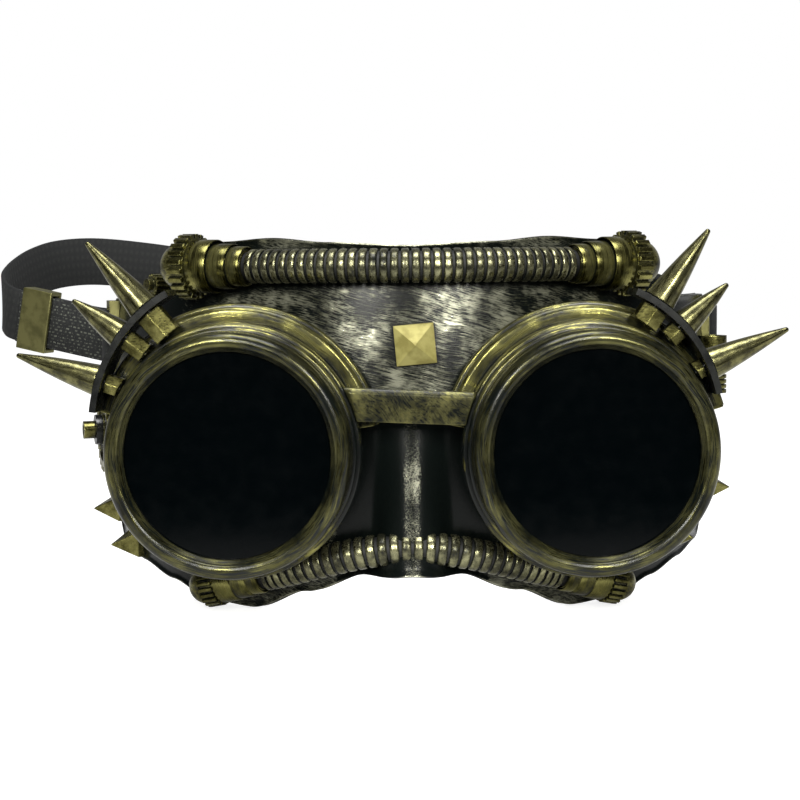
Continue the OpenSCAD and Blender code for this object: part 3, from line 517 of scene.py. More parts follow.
# %% [markdown]
# Each eyecup is a stack of stepped rings. The steps are what the light draws: every edge is a thin
# bright line with a brassy band between. The broad flange and the rim behind it run only over the top
# and inner side.

# %% Eyecups
NECK, RING_A, RING_B, TUBE, TUBE_BORE, BORE = 27.6, 30.6, 31.6, 28.7, 26.3, 24.5
FLANGE, RIM = 35.2, 36.0
TUBE_REACH = 60
COLLAR_FROM, COLLAR_TO = 190, 344
DRUM_R, DRUM_H = 80, 90

cup_profile = rounded([
    (BORE, 5.4), (NECK, 5.4), (NECK, 9.2), (RING_A - 0.5, 9.2), (RING_A, 9.7), (RING_A, 10.3),
    (RING_A - 0.5, 10.6), (RING_A - 0.5, 10.9), (RING_B - 0.4, 10.9), (RING_B, 11.4), (RING_B, 14.4),
    (RING_B - 0.6, 15.0), (TUBE, 15.0), (TUBE, TUBE_REACH), (TUBE_BORE, TUBE_REACH), (TUBE_BORE, 18.0),
    (BORE, 15.0)], 0.22, 2)
collar_profile = rounded([
    (TUBE - 1, 15.4), (FLANGE - 0.9, 15.4), (FLANGE, 16.0), (FLANGE, 17.4), (FLANGE - 0.4, 17.9),
    (FLANGE - 0.4, 18.3), (RIM - 0.3, 18.3), (RIM, 18.8), (RIM, 20.4), (RIM - 0.6, 21.0), (TUBE - 1, 21.0)],
    0.25, 2)

for name, side in SIDES.items():
    place = cup_place(side)
    verts, faces, brush = lathe(cup_profile, place, 192)
    cup = make_object(name + "_eyecup_rings", verts, faces, brushed_cup, brush, sharp=40)
    # The tube stops at the mask's inner side, as the CAD's does
    verts, faces, _ = lathe([(AXIS, -DRUM_H), (DRUM_R, -DRUM_H), (DRUM_R, DRUM_H), (AXIS, DRUM_H)],
                            wrap_place, 180)
    carve(cup, [make_object("drum", verts, faces, black_plastic)])
    # The collar joins the mesh after the cut, because a boolean drops a shell that overlaps another
    verts, faces, brush = lathe(collar_profile, place, 120, COLLAR_FROM, COLLAR_TO)
    collar = make_object("collar", verts, faces, brushed_cup, brush, sharp=40)
    whole = bmesh.new()
    whole.from_mesh(cup.data)
    whole.from_mesh(collar.data)
    whole.to_mesh(cup.data)
    whole.free()
    bpy.data.objects.remove(collar)
    dressed(cup, ROOT, name + "_eyecup")
    print(cup.name, len(cup.data.polygons), "faces")

# %% [markdown]
# The bezel is a rolled ring: a round nose in front, a thin inner lip that catches the light from above,
# and a fine groove outside where the roll meets the skirt. It turns on the cup, so its pattern must
# turn with it, which an attribute on the mesh does.

# %% Bezel outline
LIP, BEZEL, THREAD, LENS_SEAT, BEZEL_DEPTH = 25.0, 29.8, 27.7, 3.2, 9.0
NOSE_FROM, NOSE_BACK, NOSE_REACH, NOSE_STEPS = 27.4, 2.6, 2.55, 12


def bezel_outline():
    """The cross-section of the ring, from the lip's inner edge round the nose to the skirt."""
    outline = [(LIP, 3.1), (LIP, 2.4), (LIP + 0.12, 2.15), (LIP + 0.85, 1.3), (LIP + 1.0, 1.0),
               (LIP + 1.15, 0.55), (LIP + 1.5, 0.28), (LIP + 2.0, 0.14)]
    for k in range(NOSE_STEPS + 1):
        angle = math.pi / 2 * k / NOSE_STEPS
        outline.append((NOSE_FROM + (BEZEL - NOSE_FROM) * math.sin(angle),
                        NOSE_BACK - NOSE_REACH * math.cos(angle)))
    outline += [(BEZEL, 4.4), (BEZEL - 0.35, 4.7), (BEZEL - 0.35, 5.1), (BEZEL, 5.4),
                (BEZEL, BEZEL_DEPTH - 0.4), (BEZEL - 0.4, BEZEL_DEPTH), (THREAD, BEZEL_DEPTH),
                (THREAD, LENS_SEAT), (LIP + 0.1, LENS_SEAT)]
    return outline


# %% [markdown]
# The lens is a flat disc that the bezel presses on the cup's neck. Its edge is broken a little, as a
# cut lens's is.

# %% Bezels and lenses
LENS_R, LENS_FRONT, LENS_BACK, LENS_EDGE = 27.4, 3.3, 5.3, 0.2
lens_outline = [(0.0, LENS_FRONT), (LENS_R - LENS_EDGE, LENS_FRONT), (LENS_R, LENS_FRONT + LENS_EDGE),
                (LENS_R, LENS_BACK - LENS_EDGE), (LENS_R - LENS_EDGE, LENS_BACK), (0.0, LENS_BACK)]
for name, side in SIDES.items():
    place = cup_place(side)
    verts, faces, brush = lathe(bezel_outline(), place, 224)
    bezel = make_object(name + "_rolled_bezel", verts, faces, brushed_bezel, brush, sharp=50)
    dressed(bezel, name + "_ring", name + "_bezel")
    verts, faces, brush = lathe(lens_outline, place, 160)
    lens = make_object(name + "_smoked_lens", verts, faces, smoked, None, sharp=25)
    dressed(lens, name + "_front", name + "_lens")
print("bezels and lenses made")

# %% [markdown]
# The mask is one smooth shell that wraps round the face. A grid of points follows its outline, so the
# edges are clean, and a smooth minimum blends the nose ridge into the forehead as a moulding does.
# Solidify gives the wall, and cutters open it for the eyecups and the strap, which is simpler than a
# grid with holes.

# %% Mask outline
BARREL, WRAP_MID, WRAP_HALF = 5, -6, 48
TOP_EDGE = [(0, 38.9), (22, 39.8), (38, 41), (52, 40.2), (62, 36), (68, 31), (74, 25), (96, 24.8)]
LOW_EDGE = [(0, -42.3), (12, -43.5), (28, -48.5), (44, -54), (57, -53.2), (67, -49.6), (76, -46.6),
            (82, -44.4), (96, -43.4)]
MASK_DEPTH, CORNER = 86.0, 9.0


def wrap_at(z):
    return WRAP_R - BARREL * ((z - WRAP_MID) / WRAP_HALF) ** 2


def edge_at(edge, x):
    for (x0, z0), (x1, z1) in zip(edge, edge[1:]):
        if x <= x1:
            t = min(max((x - x0) / (x1 - x0), 0), 1)
            return z0 + (z1 - z0) * t * t * (3 - 2 * t)
    return edge[-1][1]


# %% [markdown]
# The nose ridge is a half-round that leans forwards as it goes down. Its flanks fall away straight, and
# above the bridge its crest runs back into the forehead.

# %% Nose ridge
RIDGE_TOP, RIDGE_RUN, RIDGE_CREST, RIDGE_LEAN = -3, 28.6, 11.3, 3.8
RIDGE_ROUND, RIDGE_HALF, RIDGE_FLANK = 9, 8.0, 1.9
BLEND_HALF, BLEND_TOP, BLEND = 34, 16, 3.5


def smooth_min(a, b, width):
    h = max(0.0, min(1.0, 0.5 + 0.5 * (b - a) / width))
    return b + (a - b) * h - width * h * (1 - h)


def nose_front(x, z):
    """Depth of the nose ridge's front."""
    above = z - RIDGE_TOP
    crest = RIDGE_CREST - RIDGE_LEAN * (above / -RIDGE_RUN)
    if above > 0:
        crest = RIDGE_CREST + 0.35 * above + 0.05 * above ** 2
    across = min(abs(x), RIDGE_HALF)
    depth = crest + RIDGE_ROUND - math.sqrt(RIDGE_ROUND ** 2 - across * across)
    return depth + max(0.0, abs(x) - RIDGE_HALF) * RIDGE_FLANK


# %% [markdown]
# The grid's rows stand close together at both edges, where the moulding has a rounded lip. Its columns
# stand closer together in the middle, where the nose needs them.

# %% Mask grid
HALF_SWEEP = math.radians(81)
COLUMNS, MIDDLE_ROWS = 260, 64
LIP_STEPS = [0, 0.25, 0.55, 0.95, 1.45, 2.1, 3.0]
LIP_H, LIP_W = 0.75, 1.0
mask_verts, mask_faces = [], []
mask_rows = 2 * len(LIP_STEPS) + MIDDLE_ROWS
for i in range(COLUMNS + 1):
    u = 2 * i / COLUMNS - 1
    u = 0.75 * u + 0.25 * u ** 3
    x = WRAP_R * math.sin(u * HALF_SWEEP)
    top, low = edge_at(TOP_EDGE, abs(x)), edge_at(LOW_EDGE, abs(x))
    into = WRAP_Y - WRAP_R * math.cos(u * HALF_SWEEP) - (MASK_DEPTH - CORNER)
    if into > 0:
        cut = CORNER - math.sqrt(max(CORNER ** 2 - min(into, CORNER) ** 2, 0))
        top, low = top - cut, low + cut
    inner = top - low - 2 * LIP_STEPS[-1]
    heights = [low + d for d in LIP_STEPS]
    heights += [low + LIP_STEPS[-1] + inner * (k + 1) / (MIDDLE_ROWS + 1) for k in range(MIDDLE_ROWS)]
    heights += [top - d for d in reversed(LIP_STEPS)]
    for z in heights:
        r = wrap_at(z)
        angle = u * math.acos((WRAP_Y - MASK_DEPTH) / r)
        px, py = r * math.sin(angle), WRAP_Y - r * math.cos(angle)
        if abs(px) < BLEND_HALF and z < BLEND_TOP:
            py = smooth_min(py, nose_front(px, z), BLEND)
        rim = min(z - low, top - z)
        bead = LIP_H * math.exp(-(rim / LIP_W) ** 2)
        px, py = px + bead * math.sin(angle), py - bead * math.cos(angle)
        mask_verts.append((px * MM, py * MM, z * MM))
for i in range(COLUMNS):
    for k in range(mask_rows - 1):
        a = i * mask_rows + k
        mask_faces.append((a, a + mask_rows, a + mask_rows + 1, a + 1))
mask = make_object("mask_shell", mask_verts, mask_faces, brushed_mask, sharp=45, recalculate=False)
wall = mask.modifiers.new("wall", "SOLIDIFY")
wall.thickness = WALL * MM
wall.offset = -1
print("mask grid", COLUMNS, "by", mask_rows)

# %% [markdown]
# The cutters are a tube for each eyecup and a slot box for each strap end. The carve helper turns the
# mask into a plain mesh with its wall and its openings.


# %% Cut the mask
def box_mesh(name, centre, axes, size, material):
    """A box with its own axes: centre and size in millimetres."""
    verts = []
    for sx in (-0.5, 0.5):
        for sy in (-0.5, 0.5):
            for sz in (-0.5, 0.5):
                p = (centre + sx * size[0] * axes[0] + sy * size[1] * axes[1]
                     + sz * size[2] * axes[2])
                verts.append(p * MM)
    faces = [(0, 1, 3, 2), (4, 6, 7, 5), (0, 4, 5, 1), (2, 3, 7, 6), (0, 2, 6, 4), (1, 5, 7, 3)]
    return make_object(name, verts, faces, material)


LUG_ANGLE, LUG_Z = math.radians(75.5), 14.0
SLOT = (4.6, 20.0, 16.8)
HOLE_R, HOLE_FROM, HOLE_TO = 28.75, 8, 85
hole = [(AXIS, HOLE_FROM), (HOLE_R, HOLE_FROM), (HOLE_R, HOLE_TO), (AXIS, HOLE_TO)]
cutters = []
for side in SIDES.values():
    verts, faces, _ = lathe(hole, cup_place(side), 160)
    cutters.append(make_object("cutter", verts, faces, black_plastic))
    out = Vector((side * math.sin(LUG_ANGLE), -math.cos(LUG_ANGLE), 0))
    round_it = Vector((side * math.cos(LUG_ANGLE), math.sin(LUG_ANGLE), 0))
    centre = Vector((0, WRAP_Y, LUG_Z)) + wrap_at(LUG_Z) * out
    cutters.append(box_mesh("cutter", centre, (round_it, out, Vector((0, 0, 1))), SLOT, black_plastic))
carve(mask, cutters)
mask.data.set_sharp_from_angle(angle=math.radians(45))
dressed(mask, ROOT, "face_shell")
print("mask", len(mask.data.polygons), "faces")

# %% [markdown]
# The bridge bar joins the two cups. Its top edge is cut back at a slope, which shows as a light line in
# front. Its ends are cut to the rings' curve, so the bezels can turn past it.

# %% Bridge bar
BAR_H, BAR_T, BAR_LIP, BAR_TILT = 8.0, 3.6, 1.1, math.radians(2.5)
BAR_HALF, BAR_STEPS = 22, 24
RING_CUT, CUT_FROM, CUT_TO = 31.55, -2, 24
bar_section = rounded([(0, -BAR_H / 2), (0, BAR_H / 2 - BAR_LIP), (0.7, BAR_H / 2), (BAR_T, BAR_H / 2),
                       (BAR_T, -BAR_H / 2)], [0.3, 0.15, 0.15, 0.2, 0.3], 3)
bar_verts, bar_faces = [], []
c, s = math.cos(BAR_TILT), math.sin(BAR_TILT)
for i in range(BAR_STEPS + 1):
    x = -BAR_HALF + 2 * BAR_HALF * i / BAR_STEPS
    for y, z in bar_section:
        bar_verts.append(((x * c + z * s) * MM, y * MM, (-x * s + z * c) * MM))
n = len(bar_section)
for i in range(BAR_STEPS):
    for k in range(n):
        a, b = i * n + k, i * n + (k + 1) % n
        bar_faces.append((a, b, b + n, a + n))
bar_faces += [tuple(range(n)), tuple(range(BAR_STEPS * n, (BAR_STEPS + 1) * n))]
bar = make_object("bridge", bar_verts, bar_faces, brushed_bar, sharp=30)
ring = [(AXIS, CUT_FROM), (RING_CUT, CUT_FROM), (RING_CUT, CUT_TO), (AXIS, CUT_TO)]
cutters = []
for side in SIDES.values():
    verts, faces, _ = lathe(ring, cup_place(side), 160)
    cutters.append(make_object("cutter", verts, faces, black_plastic))
carve(bar, cutters)
dressed(bar, ROOT, "bridge_bar")
print("bridge bar", len(bar.data.polygons), "faces")

# %% [markdown]
# A ribbed hose is one rib repeated along a path, which is what Geometry Nodes are for. The rib comes
# first: a square section with rounded corners, swept round a circle. A plain core tube fills the grooves.

# %% Rib and core
ROUND_STEPS, CORNER_STEPS, CORNER_SHARE, CORE_PROUD = 32, 5, 0.62, 0.1


def rib_and_core(tree, given):
    ring_r = add(tree, "ShaderNodeMath", {"operation": "SUBTRACT"},
                 {0: given["Hose radius"], 1: given["Rib thickness"]})
    core_r = add(tree, "ShaderNodeMath", {"operation": "MULTIPLY_ADD"},
                 {0: given["Rib thickness"], 1: CORE_PROUD, 2: ring_r.outputs[0]})
    core_circle = add(tree, "GeometryNodeCurvePrimitiveCircle", None, {
        "Resolution": ROUND_STEPS, "Radius": core_r.outputs[0]})
    core = add(tree, "GeometryNodeCurveToMesh", None, {
        "Curve": given["Geometry"], "Profile Curve": core_circle.outputs["Curve"], "Fill Caps": True})
    big = add(tree, "GeometryNodeCurvePrimitiveCircle", None, {
        "Resolution": ROUND_STEPS, "Radius": ring_r.outputs[0]})
    side = add(tree, "ShaderNodeMath", {"operation": "MULTIPLY"}, {0: given["Rib thickness"], 1: 2.0})
    square = add(tree, "GeometryNodeCurvePrimitiveQuadrilateral", None,
                 {"Width": side.outputs[0], "Height": side.outputs[0]})
    corner = add(tree, "ShaderNodeMath", {"operation": "MULTIPLY"},
                 {0: given["Rib thickness"], 1: CORNER_SHARE})
    section = add(tree, "GeometryNodeFilletCurve", {"mode": "POLY"}, {
        "Curve": square.outputs[0], "Count": CORNER_STEPS, "Radius": corner.outputs[0],
        "Limit Radius": True})
    rib = add(tree, "GeometryNodeCurveToMesh", None, {
        "Curve": big.outputs["Curve"], "Profile Curve": section.outputs[0]})
    return rib.outputs[0], core.outputs[0]


# %% [markdown]
# The ribs stand closer together towards the ends, where the real hose is squeezed. A place q runs from -1
# to 1 along the hose, and crowding draws the outer ones together. The pitch's change along the hose
# narrows the outer ribs by the same share.

# %% Places along the hose
def rib_places(tree, given):
    """A rib's place on the curve as a factor from 0 to 1, and its pitch as a share of the mean one."""
    index = add(tree, "GeometryNodeInputIndex")
    half = add(tree, "ShaderNodeMath", {"operation": "ADD"}, {0: index.outputs[0], 1: 0.5})
    share = add(tree, "ShaderNodeMath", {"operation": "DIVIDE"}, {0: half.outputs[0], 1: given["Ribs"]})
    q = add(tree, "ShaderNodeMath", {"operation": "MULTIPLY_ADD"}, {0: share.outputs[0], 1: 2.0, 2: -1.0})
    q2 = add(tree, "ShaderNodeMath", {"operation": "MULTIPLY"}, {0: q.outputs[0], 1: q.outputs[0]})
    left = add(tree, "ShaderNodeMath", {"operation": "SUBTRACT"}, {0: 1.0, 1: q2.outputs[0]})
    pull = add(tree, "ShaderNodeMath", {"operation": "MULTIPLY_ADD"},
               {0: left.outputs[0], 1: given["Crowding"], 2: 1.0})
    s = add(tree, "ShaderNodeMath", {"operation": "MULTIPLY"}, {0: q.outputs[0], 1: pull.outputs[0]})
    s_used = add(tree, "ShaderNodeMath", {"operation": "MULTIPLY"},
                 {0: s.outputs[0], 1: given["Share with ribs"]})
    factor = add(tree, "ShaderNodeMath", {"operation": "MULTIPLY_ADD"},
                 {0: s_used.outputs[0], 1: 0.5, 2: 0.5})
    fall = add(tree, "ShaderNodeMath", {"operation": "MULTIPLY"}, {0: q2.outputs[0], 1: -3.0})
    slope = add(tree, "ShaderNodeMath", {"operation": "ADD"}, {0: fall.outputs[0], 1: 1.0})
    pitch = add(tree, "ShaderNodeMath", {"operation": "MULTIPLY_ADD"},
                {0: slope.outputs[0], 1: given["Crowding"], 2: 1.0})
    return factor.outputs[0], pitch.outputs[0]


# %% [markdown]
# The tree sets a rib on each place, turned along the curve and stretched to its width. Its inputs are the
# hose's real sizes. It ends in real geometry with both materials set.

# %% Hose tree
HOSE_INPUTS = {"Ribs": "Int", "Hose radius": "Float", "Rib thickness": "Float", "Rib width": "Float",
               "Crowding": "Float", "Share with ribs": "Float"}


def hose_tree():
    tree = bpy.data.node_groups.new("ribbed_hose", "GeometryNodeTree")
    face = tree.interface
    face.new_socket("Geometry", in_out="INPUT", socket_type="NodeSocketGeometry")
    for label, kind in HOSE_INPUTS.items():
        face.new_socket(label, in_out="INPUT", socket_type="NodeSocket" + kind)
    face.new_socket("Geometry", in_out="OUTPUT", socket_type="NodeSocketGeometry")
    given = add(tree, "NodeGroupInput").outputs
    rib, core = rib_and_core(tree, given)
    factor, pitch = rib_places(tree, given)
    points = add(tree, "GeometryNodePoints", None, {"Count": given["Ribs"]})
    sample = add(tree, "GeometryNodeSampleCurve", {"mode": "FACTOR", "use_all_curves": True}, {
        "Curves": given["Geometry"], "Factor": factor})
    placed = add(tree, "GeometryNodeSetPosition", None, {
        "Geometry": points.outputs[0], "Position": sample.outputs["Position"]})
    turned = add(tree, "FunctionNodeAlignRotationToVector", {"axis": "Z"},
                 {"Vector": sample.outputs["Tangent"]})
    wide = add(tree, "ShaderNodeMath", {"operation": "DIVIDE"},
               {0: given["Rib width"], 1: given["Rib thickness"]})
    long = add(tree, "ShaderNodeMath", {"operation": "MULTIPLY"}, {0: wide.outputs[0], 1: pitch})
    size = add(tree, "ShaderNodeCombineXYZ", None, {"X": 1.0, "Y": 1.0, "Z": long.outputs[0]})
    ribs = add(tree, "GeometryNodeInstanceOnPoints", None, {
        "Points": placed.outputs[0], "Instance": rib, "Rotation": turned.outputs[0],
        "Scale": size.outputs[0]})
    real = add(tree, "GeometryNodeRealizeInstances", None, {"Geometry": ribs.outputs[0]})
    rib_set = add(tree, "GeometryNodeSetMaterial", None, {
        "Geometry": real.outputs[0], "Material": brushed_rib})
    # The core tube takes the painted-shade groove black.
    core_set = add(tree, "GeometryNodeSetMaterial", None, {"Geometry": core, "Material": groove_shade_black})
    both = add(tree, "GeometryNodeJoinGeometry")
    tree.links.new(core_set.outputs[0], both.inputs[0])
    tree.links.new(rib_set.outputs[0], both.inputs[0])
    smooth = add(tree, "GeometryNodeSetShadeSmooth", None, {
        "Geometry": both.outputs[0], "Shade Smooth": True})
    add(tree, "NodeGroupOutput", None, {0: smooth.outputs[0]})
    return tree


# %% [markdown]
# A hose is that tree on a curve. The result is turned into a plain mesh, because the export drops
# instances.


# %% Hose maker
def hose(name, path, settings, node):
    curve = bpy.data.curves.new(name, "CURVE")
    curve.dimensions = "3D"
    spline = curve.splines.new("POLY")
    spline.points.add(len(path) - 1)
    for point, place in zip(spline.points, path):
        point.co = (place[0] * MM, place[1] * MM, place[2] * MM, 1)
    source = bpy.data.objects.new(name + "_path", curve)
    bpy.context.collection.objects.link(source)
    nodes = source.modifiers.new("hose", "NODES")
    tree = hose_tree()
    nodes.node_group = tree
    for item in tree.interface.items_tree:
        if item.in_out == "INPUT" and item.name in settings:
            nodes[item.identifier] = settings[item.name]
    source.update_tag()
    evaluated = source.evaluated_get(bpy.context.evaluated_depsgraph_get())
    mesh = bpy.data.meshes.new_from_object(evaluated)
    obj = bpy.data.objects.new(name, mesh)
    bpy.context.collection.objects.link(obj)
    bpy.data.objects.remove(source)
    dressed(obj, ROOT, node)
    print(name, len(mesh.polygons), "faces")


# %% [markdown]
# Both hoses follow the mask's wrap. The brow hose stays level. The nose hose drops towards its ends in
# an eased curve. Their ends run straight into the cuffs.

# %% Hoses
BROW_TURN, BROW_Z, BROW_R, BROW_TAIL = 27.0, 34.0, 4.3, 8.6
NOSE_TURN, NOSE_Z, NOSE_R, NOSE_TAIL = 24.5, -36.0, 4.1, 11.5
HOSE_GAP, RIB_T, RIB_W = 0.3, 0.8, 0.96
BROW_WRAP = wrap_at(BROW_Z) + BROW_R + HOSE_GAP
NOSE_WRAP = wrap_at(NOSE_Z) + NOSE_R + HOSE_GAP
NOSE_DROP, NOSE_SWEEP = 7.8, math.radians(130)


def on_wrap(angle, r, z):
    a = math.radians(angle)
    return Vector((r * math.sin(a), WRAP_Y - r * math.cos(a), z))


def nose_fall(angle):
    share = (1 - math.cos(NOSE_SWEEP * angle / NOSE_TURN)) / (1 - math.cos(NOSE_SWEEP))
    return NOSE_Z - NOSE_DROP * share


def hose_path(point, turn, tail, steps=96):
    path = [point(-turn + 2 * turn * k / steps) for k in range(steps + 1)]
    first = (path[0] - path[1]).normalized()
    last = (path[-1] - path[-2]).normalized()
    return [path[0] + first * tail] + path + [path[-1] + last * tail]


def brow_point(angle):
    return on_wrap(angle, BROW_WRAP, BROW_Z)


def nose_point(angle):
    return on_wrap(angle, NOSE_WRAP, nose_fall(angle))


for name, point, turn, wrap, radius, tail, ribs, crowding in (
        ("brow", brow_point, BROW_TURN, BROW_WRAP, BROW_R, BROW_TAIL, 34, 0.05),
        ("nose", nose_point, NOSE_TURN, NOSE_WRAP, NOSE_R, NOSE_TAIL, 32, 0.195)):
    ribbed = math.radians(2 * turn) * wrap
    hose(name + "_ribbed_hose", hose_path(point, turn, tail), {
        "Ribs": ribs, "Hose radius": radius * MM, "Rib thickness": RIB_T * MM, "Rib width": RIB_W * MM,
        "Crowding": crowding, "Share with ribs": ribbed / (ribbed + 2 * tail)}, name + "_hose")

# %% [markdown]
# The hose ends are stepped bells: three cuffs that grow outwards, each with a light front edge. They
# are turned on the hose's own axis, which points along the end of its path.


# %% Bell outline
def axis_place(origin, direction, side):
    """Local z runs along direction from origin. Everything is mirrored when side is -1."""
    z = direction.normalized()
    x = z.cross(Vector((0, 0, 1))).normalized()
    y = z.cross(x)

    def place(a, b, c):
        p = origin + a * x + b * y + c * z
        return (side * p.x * MM, p.y * MM, p.z * MM)
    return place


OVERHANG, MOUTH_DEPTH = 0.7, 0.9


def bell(length, steps, bore, lip):
    """Nested cups whose mouths face the hose. Each mouth has a thin lip with a dark gap inside it."""
    outline = [(bore, 0.0)]
    start, before = 0.0, bore + 0.2
    for share, r in steps:
        end = share * length
        mouth = start - (OVERHANG if start else 0.0)
        outline += [(before, start + MOUTH_DEPTH), (r - lip, start + MOUTH_DEPTH), (r - lip, mouth + 0.15),
                    (r - lip / 2, mouth), (r, mouth + 0.2), (r + 0.05, end - 0.5)]
        start, before = end, r - 0.05
    return outline + [(before, length), (bore, length)]


# %% [markdown]
# The cuffs at the brow grow more than those at the cheeks, which have less room below the cups.

# %% Cuffs at both hoses
brow_end = brow_point(BROW_TURN)
brow_out = Vector((math.cos(math.radians(BROW_TURN)), math.sin(math.radians(BROW_TURN)), 0))
nose_end = nose_point(NOSE_TURN)
nose_out = (nose_point(NOSE_TURN) - nose_point(NOSE_TURN - 0.2)).normalized()
BROW_STEPS = [(0.3, BROW_R + 0.7), (0.64, BROW_R + 1.4), (1, BROW_R + 2.5)]
CHEEK_STEPS = [(0.3, NOSE_R + 0.4), (0.64, NOSE_R + 0.8), (1, NOSE_R + 1.2)]
BROW_CUFF_L, CHEEK_CUFF_L = 15.0, 12.5
CUFF_GAP, CUFF_BORE, CUFF_LIP = 0.8, 3.7, 0.34
for name, side in SIDES.items():
    for spot, end, out, length, steps in (("brow", brow_end, brow_out, BROW_CUFF_L, BROW_STEPS),
                                          ("cheek", nose_end, nose_out, CHEEK_CUFF_L, CHEEK_STEPS)):
        place = axis_place(end + CUFF_GAP * out, out, side)
        verts, faces, brush = lathe(bell(length, steps, CUFF_BORE, CUFF_LIP), place, 96)
        cuffs = make_object("_".join((name, spot, "bell_cuffs")), verts, faces, brushed_cup, brush, sharp=40)
        dressed(cuffs, ROOT, "_".join((name, spot, "cuffs")))
print("cuffs made")

# %% [markdown]
# The spikes are screw-on cones, as on punk studs: a blunt polished tip, straight sides and a small step
# at the foot, where the cone sits on its band. They are turned on their own axes, with brush lines from
# foot to tip.

# %% Spike outline
STUD_R, STUD_DEPTH, TIP_R, FOOT_H = 1.5, 3.2, 0.65, 0.3
CONE_STEPS, TIP_STEPS, CONE_BULGE = 12, 5, 0.22


def spike_outline(length, foot):
    r = foot / 2
    outline = [(0.0, -STUD_DEPTH), (STUD_R, -STUD_DEPTH), (STUD_R, 0.0), (r - 0.35, 0.0), (r, FOOT_H)]
    cone = length - TIP_R
    for k in range(1, CONE_STEPS + 1):
        t = k / CONE_STEPS
        bulge = CONE_BULGE * math.sin(math.pi * t)
        outline.append((r + (TIP_R - r) * t + bulge, FOOT_H + (cone - FOOT_H) * t))
    for k in range(1, TIP_STEPS + 1):
        angle = math.pi / 2 * k / TIP_STEPS
        outline.append((TIP_R * math.cos(angle), cone + TIP_R * math.sin(angle)))
    return outline


# %% [markdown]
# Three spikes stand on each band, the middle one smaller. Each has its angle on the band, its length
# and the width of its foot. The two bands sit at slightly different turns and radii.

# %% Spikes
BAND_IN, BAND_UP, SPIKE_DEPTH, SEAT = 4.5, 6.0, 11.0, 0.1
BANDS = {"left": (-3.4, 38.8), "right": (2.6, 36.4)}
SPIKES = {"upper": (52.3, 21.2, 7.8), "middle": (39.3, 14.4, 7.1), "lower": (20.8, 21.2, 7.8)}


def spike_place(side, turn, angle, reach):
    """Local z runs outwards along a spike from its band."""
    cup = cup_place(side)
    a = math.radians(-turn - angle)
    c, s = math.cos(a), math.sin(a)

    def place(x, y, z):
        along = reach + z
        return cup(-BAND_IN + along * c - y * s, -BAND_UP + along * s + y * c, SPIKE_DEPTH + x)
    return place


for name, side in SIDES.items():
    turn, band_r = BANDS[name]
    for spot, (angle, length, foot) in SPIKES.items():
        place = spike_place(side, turn, angle, band_r + SEAT)
        verts, faces, brush = lathe(spike_outline(length, foot), place, 96)
        spike = make_object("_".join((name, spot, "cone")), verts, faces, brushed_spike, brush, sharp=40)
        dressed(spike, ROOT, "_".join((name, spot, "spike")))
print("spikes made")

# %% [markdown]
# The strap is woven elastic webbing: one flat band, doubled at the left temple where its end is turned
# back through the slider. At each temple it folds round the bar of a lug, from the mask's outer side to
# its inner side.

# %% Strap folds
STRAP_W, STRAP_T, PLY_GAP = 15.0, 1.2, 0.3
TEMPLE_TURN = math.degrees(math.acos((WRAP_Y - MASK_DEPTH) / WRAP_R))
LUG_TURN = TEMPLE_TURN - 5.6


def from_lug(angle, out, z, side=1):
    p = on_wrap(LUG_TURN + angle, wrap_at(LUG_Z) + out, z)
    return Vector((side * p.x, p.y, p.z))


STRAP_FROM = from_lug(8.2, 5.4, 14.6, -1)
STRAP_DIR = Vector((-25, 10, 5)).normalized()
STRAP_SIDE = Vector((-STRAP_DIR.y, STRAP_DIR.x, 0)).normalized()
FOLD_AT = LUG_TURN + 0.7
LUG_T = 2
OUTER_FOLD = wrap_at(LUG_Z) + LUG_T + STRAP_T / 2 + PLY_GAP
INNER_FOLD = wrap_at(LUG_Z + STRAP_W / 2) - WALL - STRAP_T / 2 - PLY_GAP


def on_stretch(along, layer):
    return STRAP_FROM + along * STRAP_DIR - layer * (STRAP_T + PLY_GAP) / 2 * STRAP_SIDE


FOLD = [(5.3, OUTER_FOLD), (3.4, OUTER_FOLD), (1.4, OUTER_FOLD), (0.3, OUTER_FOLD - 0.5),
        (0, OUTER_FOLD - 1.8), (0, INNER_FOLD + 1.6), (0.4, INNER_FOLD + 0.4), (1.6, INNER_FOLD),
        (4.3, INNER_FOLD)]


def fold(side):
    points = [on_wrap(FOLD_AT + a, r, LUG_Z) for a, r in FOLD]
    return [Vector((side * p.x, p.y, p.z)) for p in points]


# %% [markdown]
# The route follows the CAD's band. It starts at the turned-back end, goes through the left fold and back
# through the slider, hangs round behind and ends in the fold on the right.

# %% Strap route
LEFT_TURN = [(-3.4, 2.3, 1.3), (-5.8, 6.8, 3.3), (-6.6, 13.3, 5.9), (-5.4, 22.3, 8.9), (-1.9, 32.3, 12.2),
             (4.2, 41.3, 14.7)]
BACK_RUN = [(-101, 149, 35), (-86, 155, 33.5), (-66, 159, 30.5), (-42, 161, 27.5), (-14, 161.5, 25),
            (14, 160.5, 23.2), (40, 157, 21.6), (60, 150, 19.4), (74, 139, 16.9), (82.5, 124, 14.9)]
RIGHT_RUN = [(20.1, 0.3), (12.8, -0.7), (9.1, -1.35), (6.3, -2.4)]
RIGHT_TAB = [(9.3, 1.5), (12.9, 1.5), (16.8, 1.75)]
route = [on_stretch(26, -1), on_stretch(14, -1), on_stretch(0, -1)] + fold(-1)
route += [from_lug(6.3, -2.4, 14.1, -1), on_stretch(0, 1), on_stretch(14, 1), on_stretch(27, 1)]
route += [on_stretch(27, 1) + Vector(step) for step in LEFT_TURN] + [Vector(p) for p in BACK_RUN]
route += [from_lug(a, out, LUG_Z) for a, out in RIGHT_RUN] + list(reversed(fold(1)))
route += [from_lug(a, out, LUG_Z) for a, out in RIGHT_TAB]
print("strap route", len(route), "points")

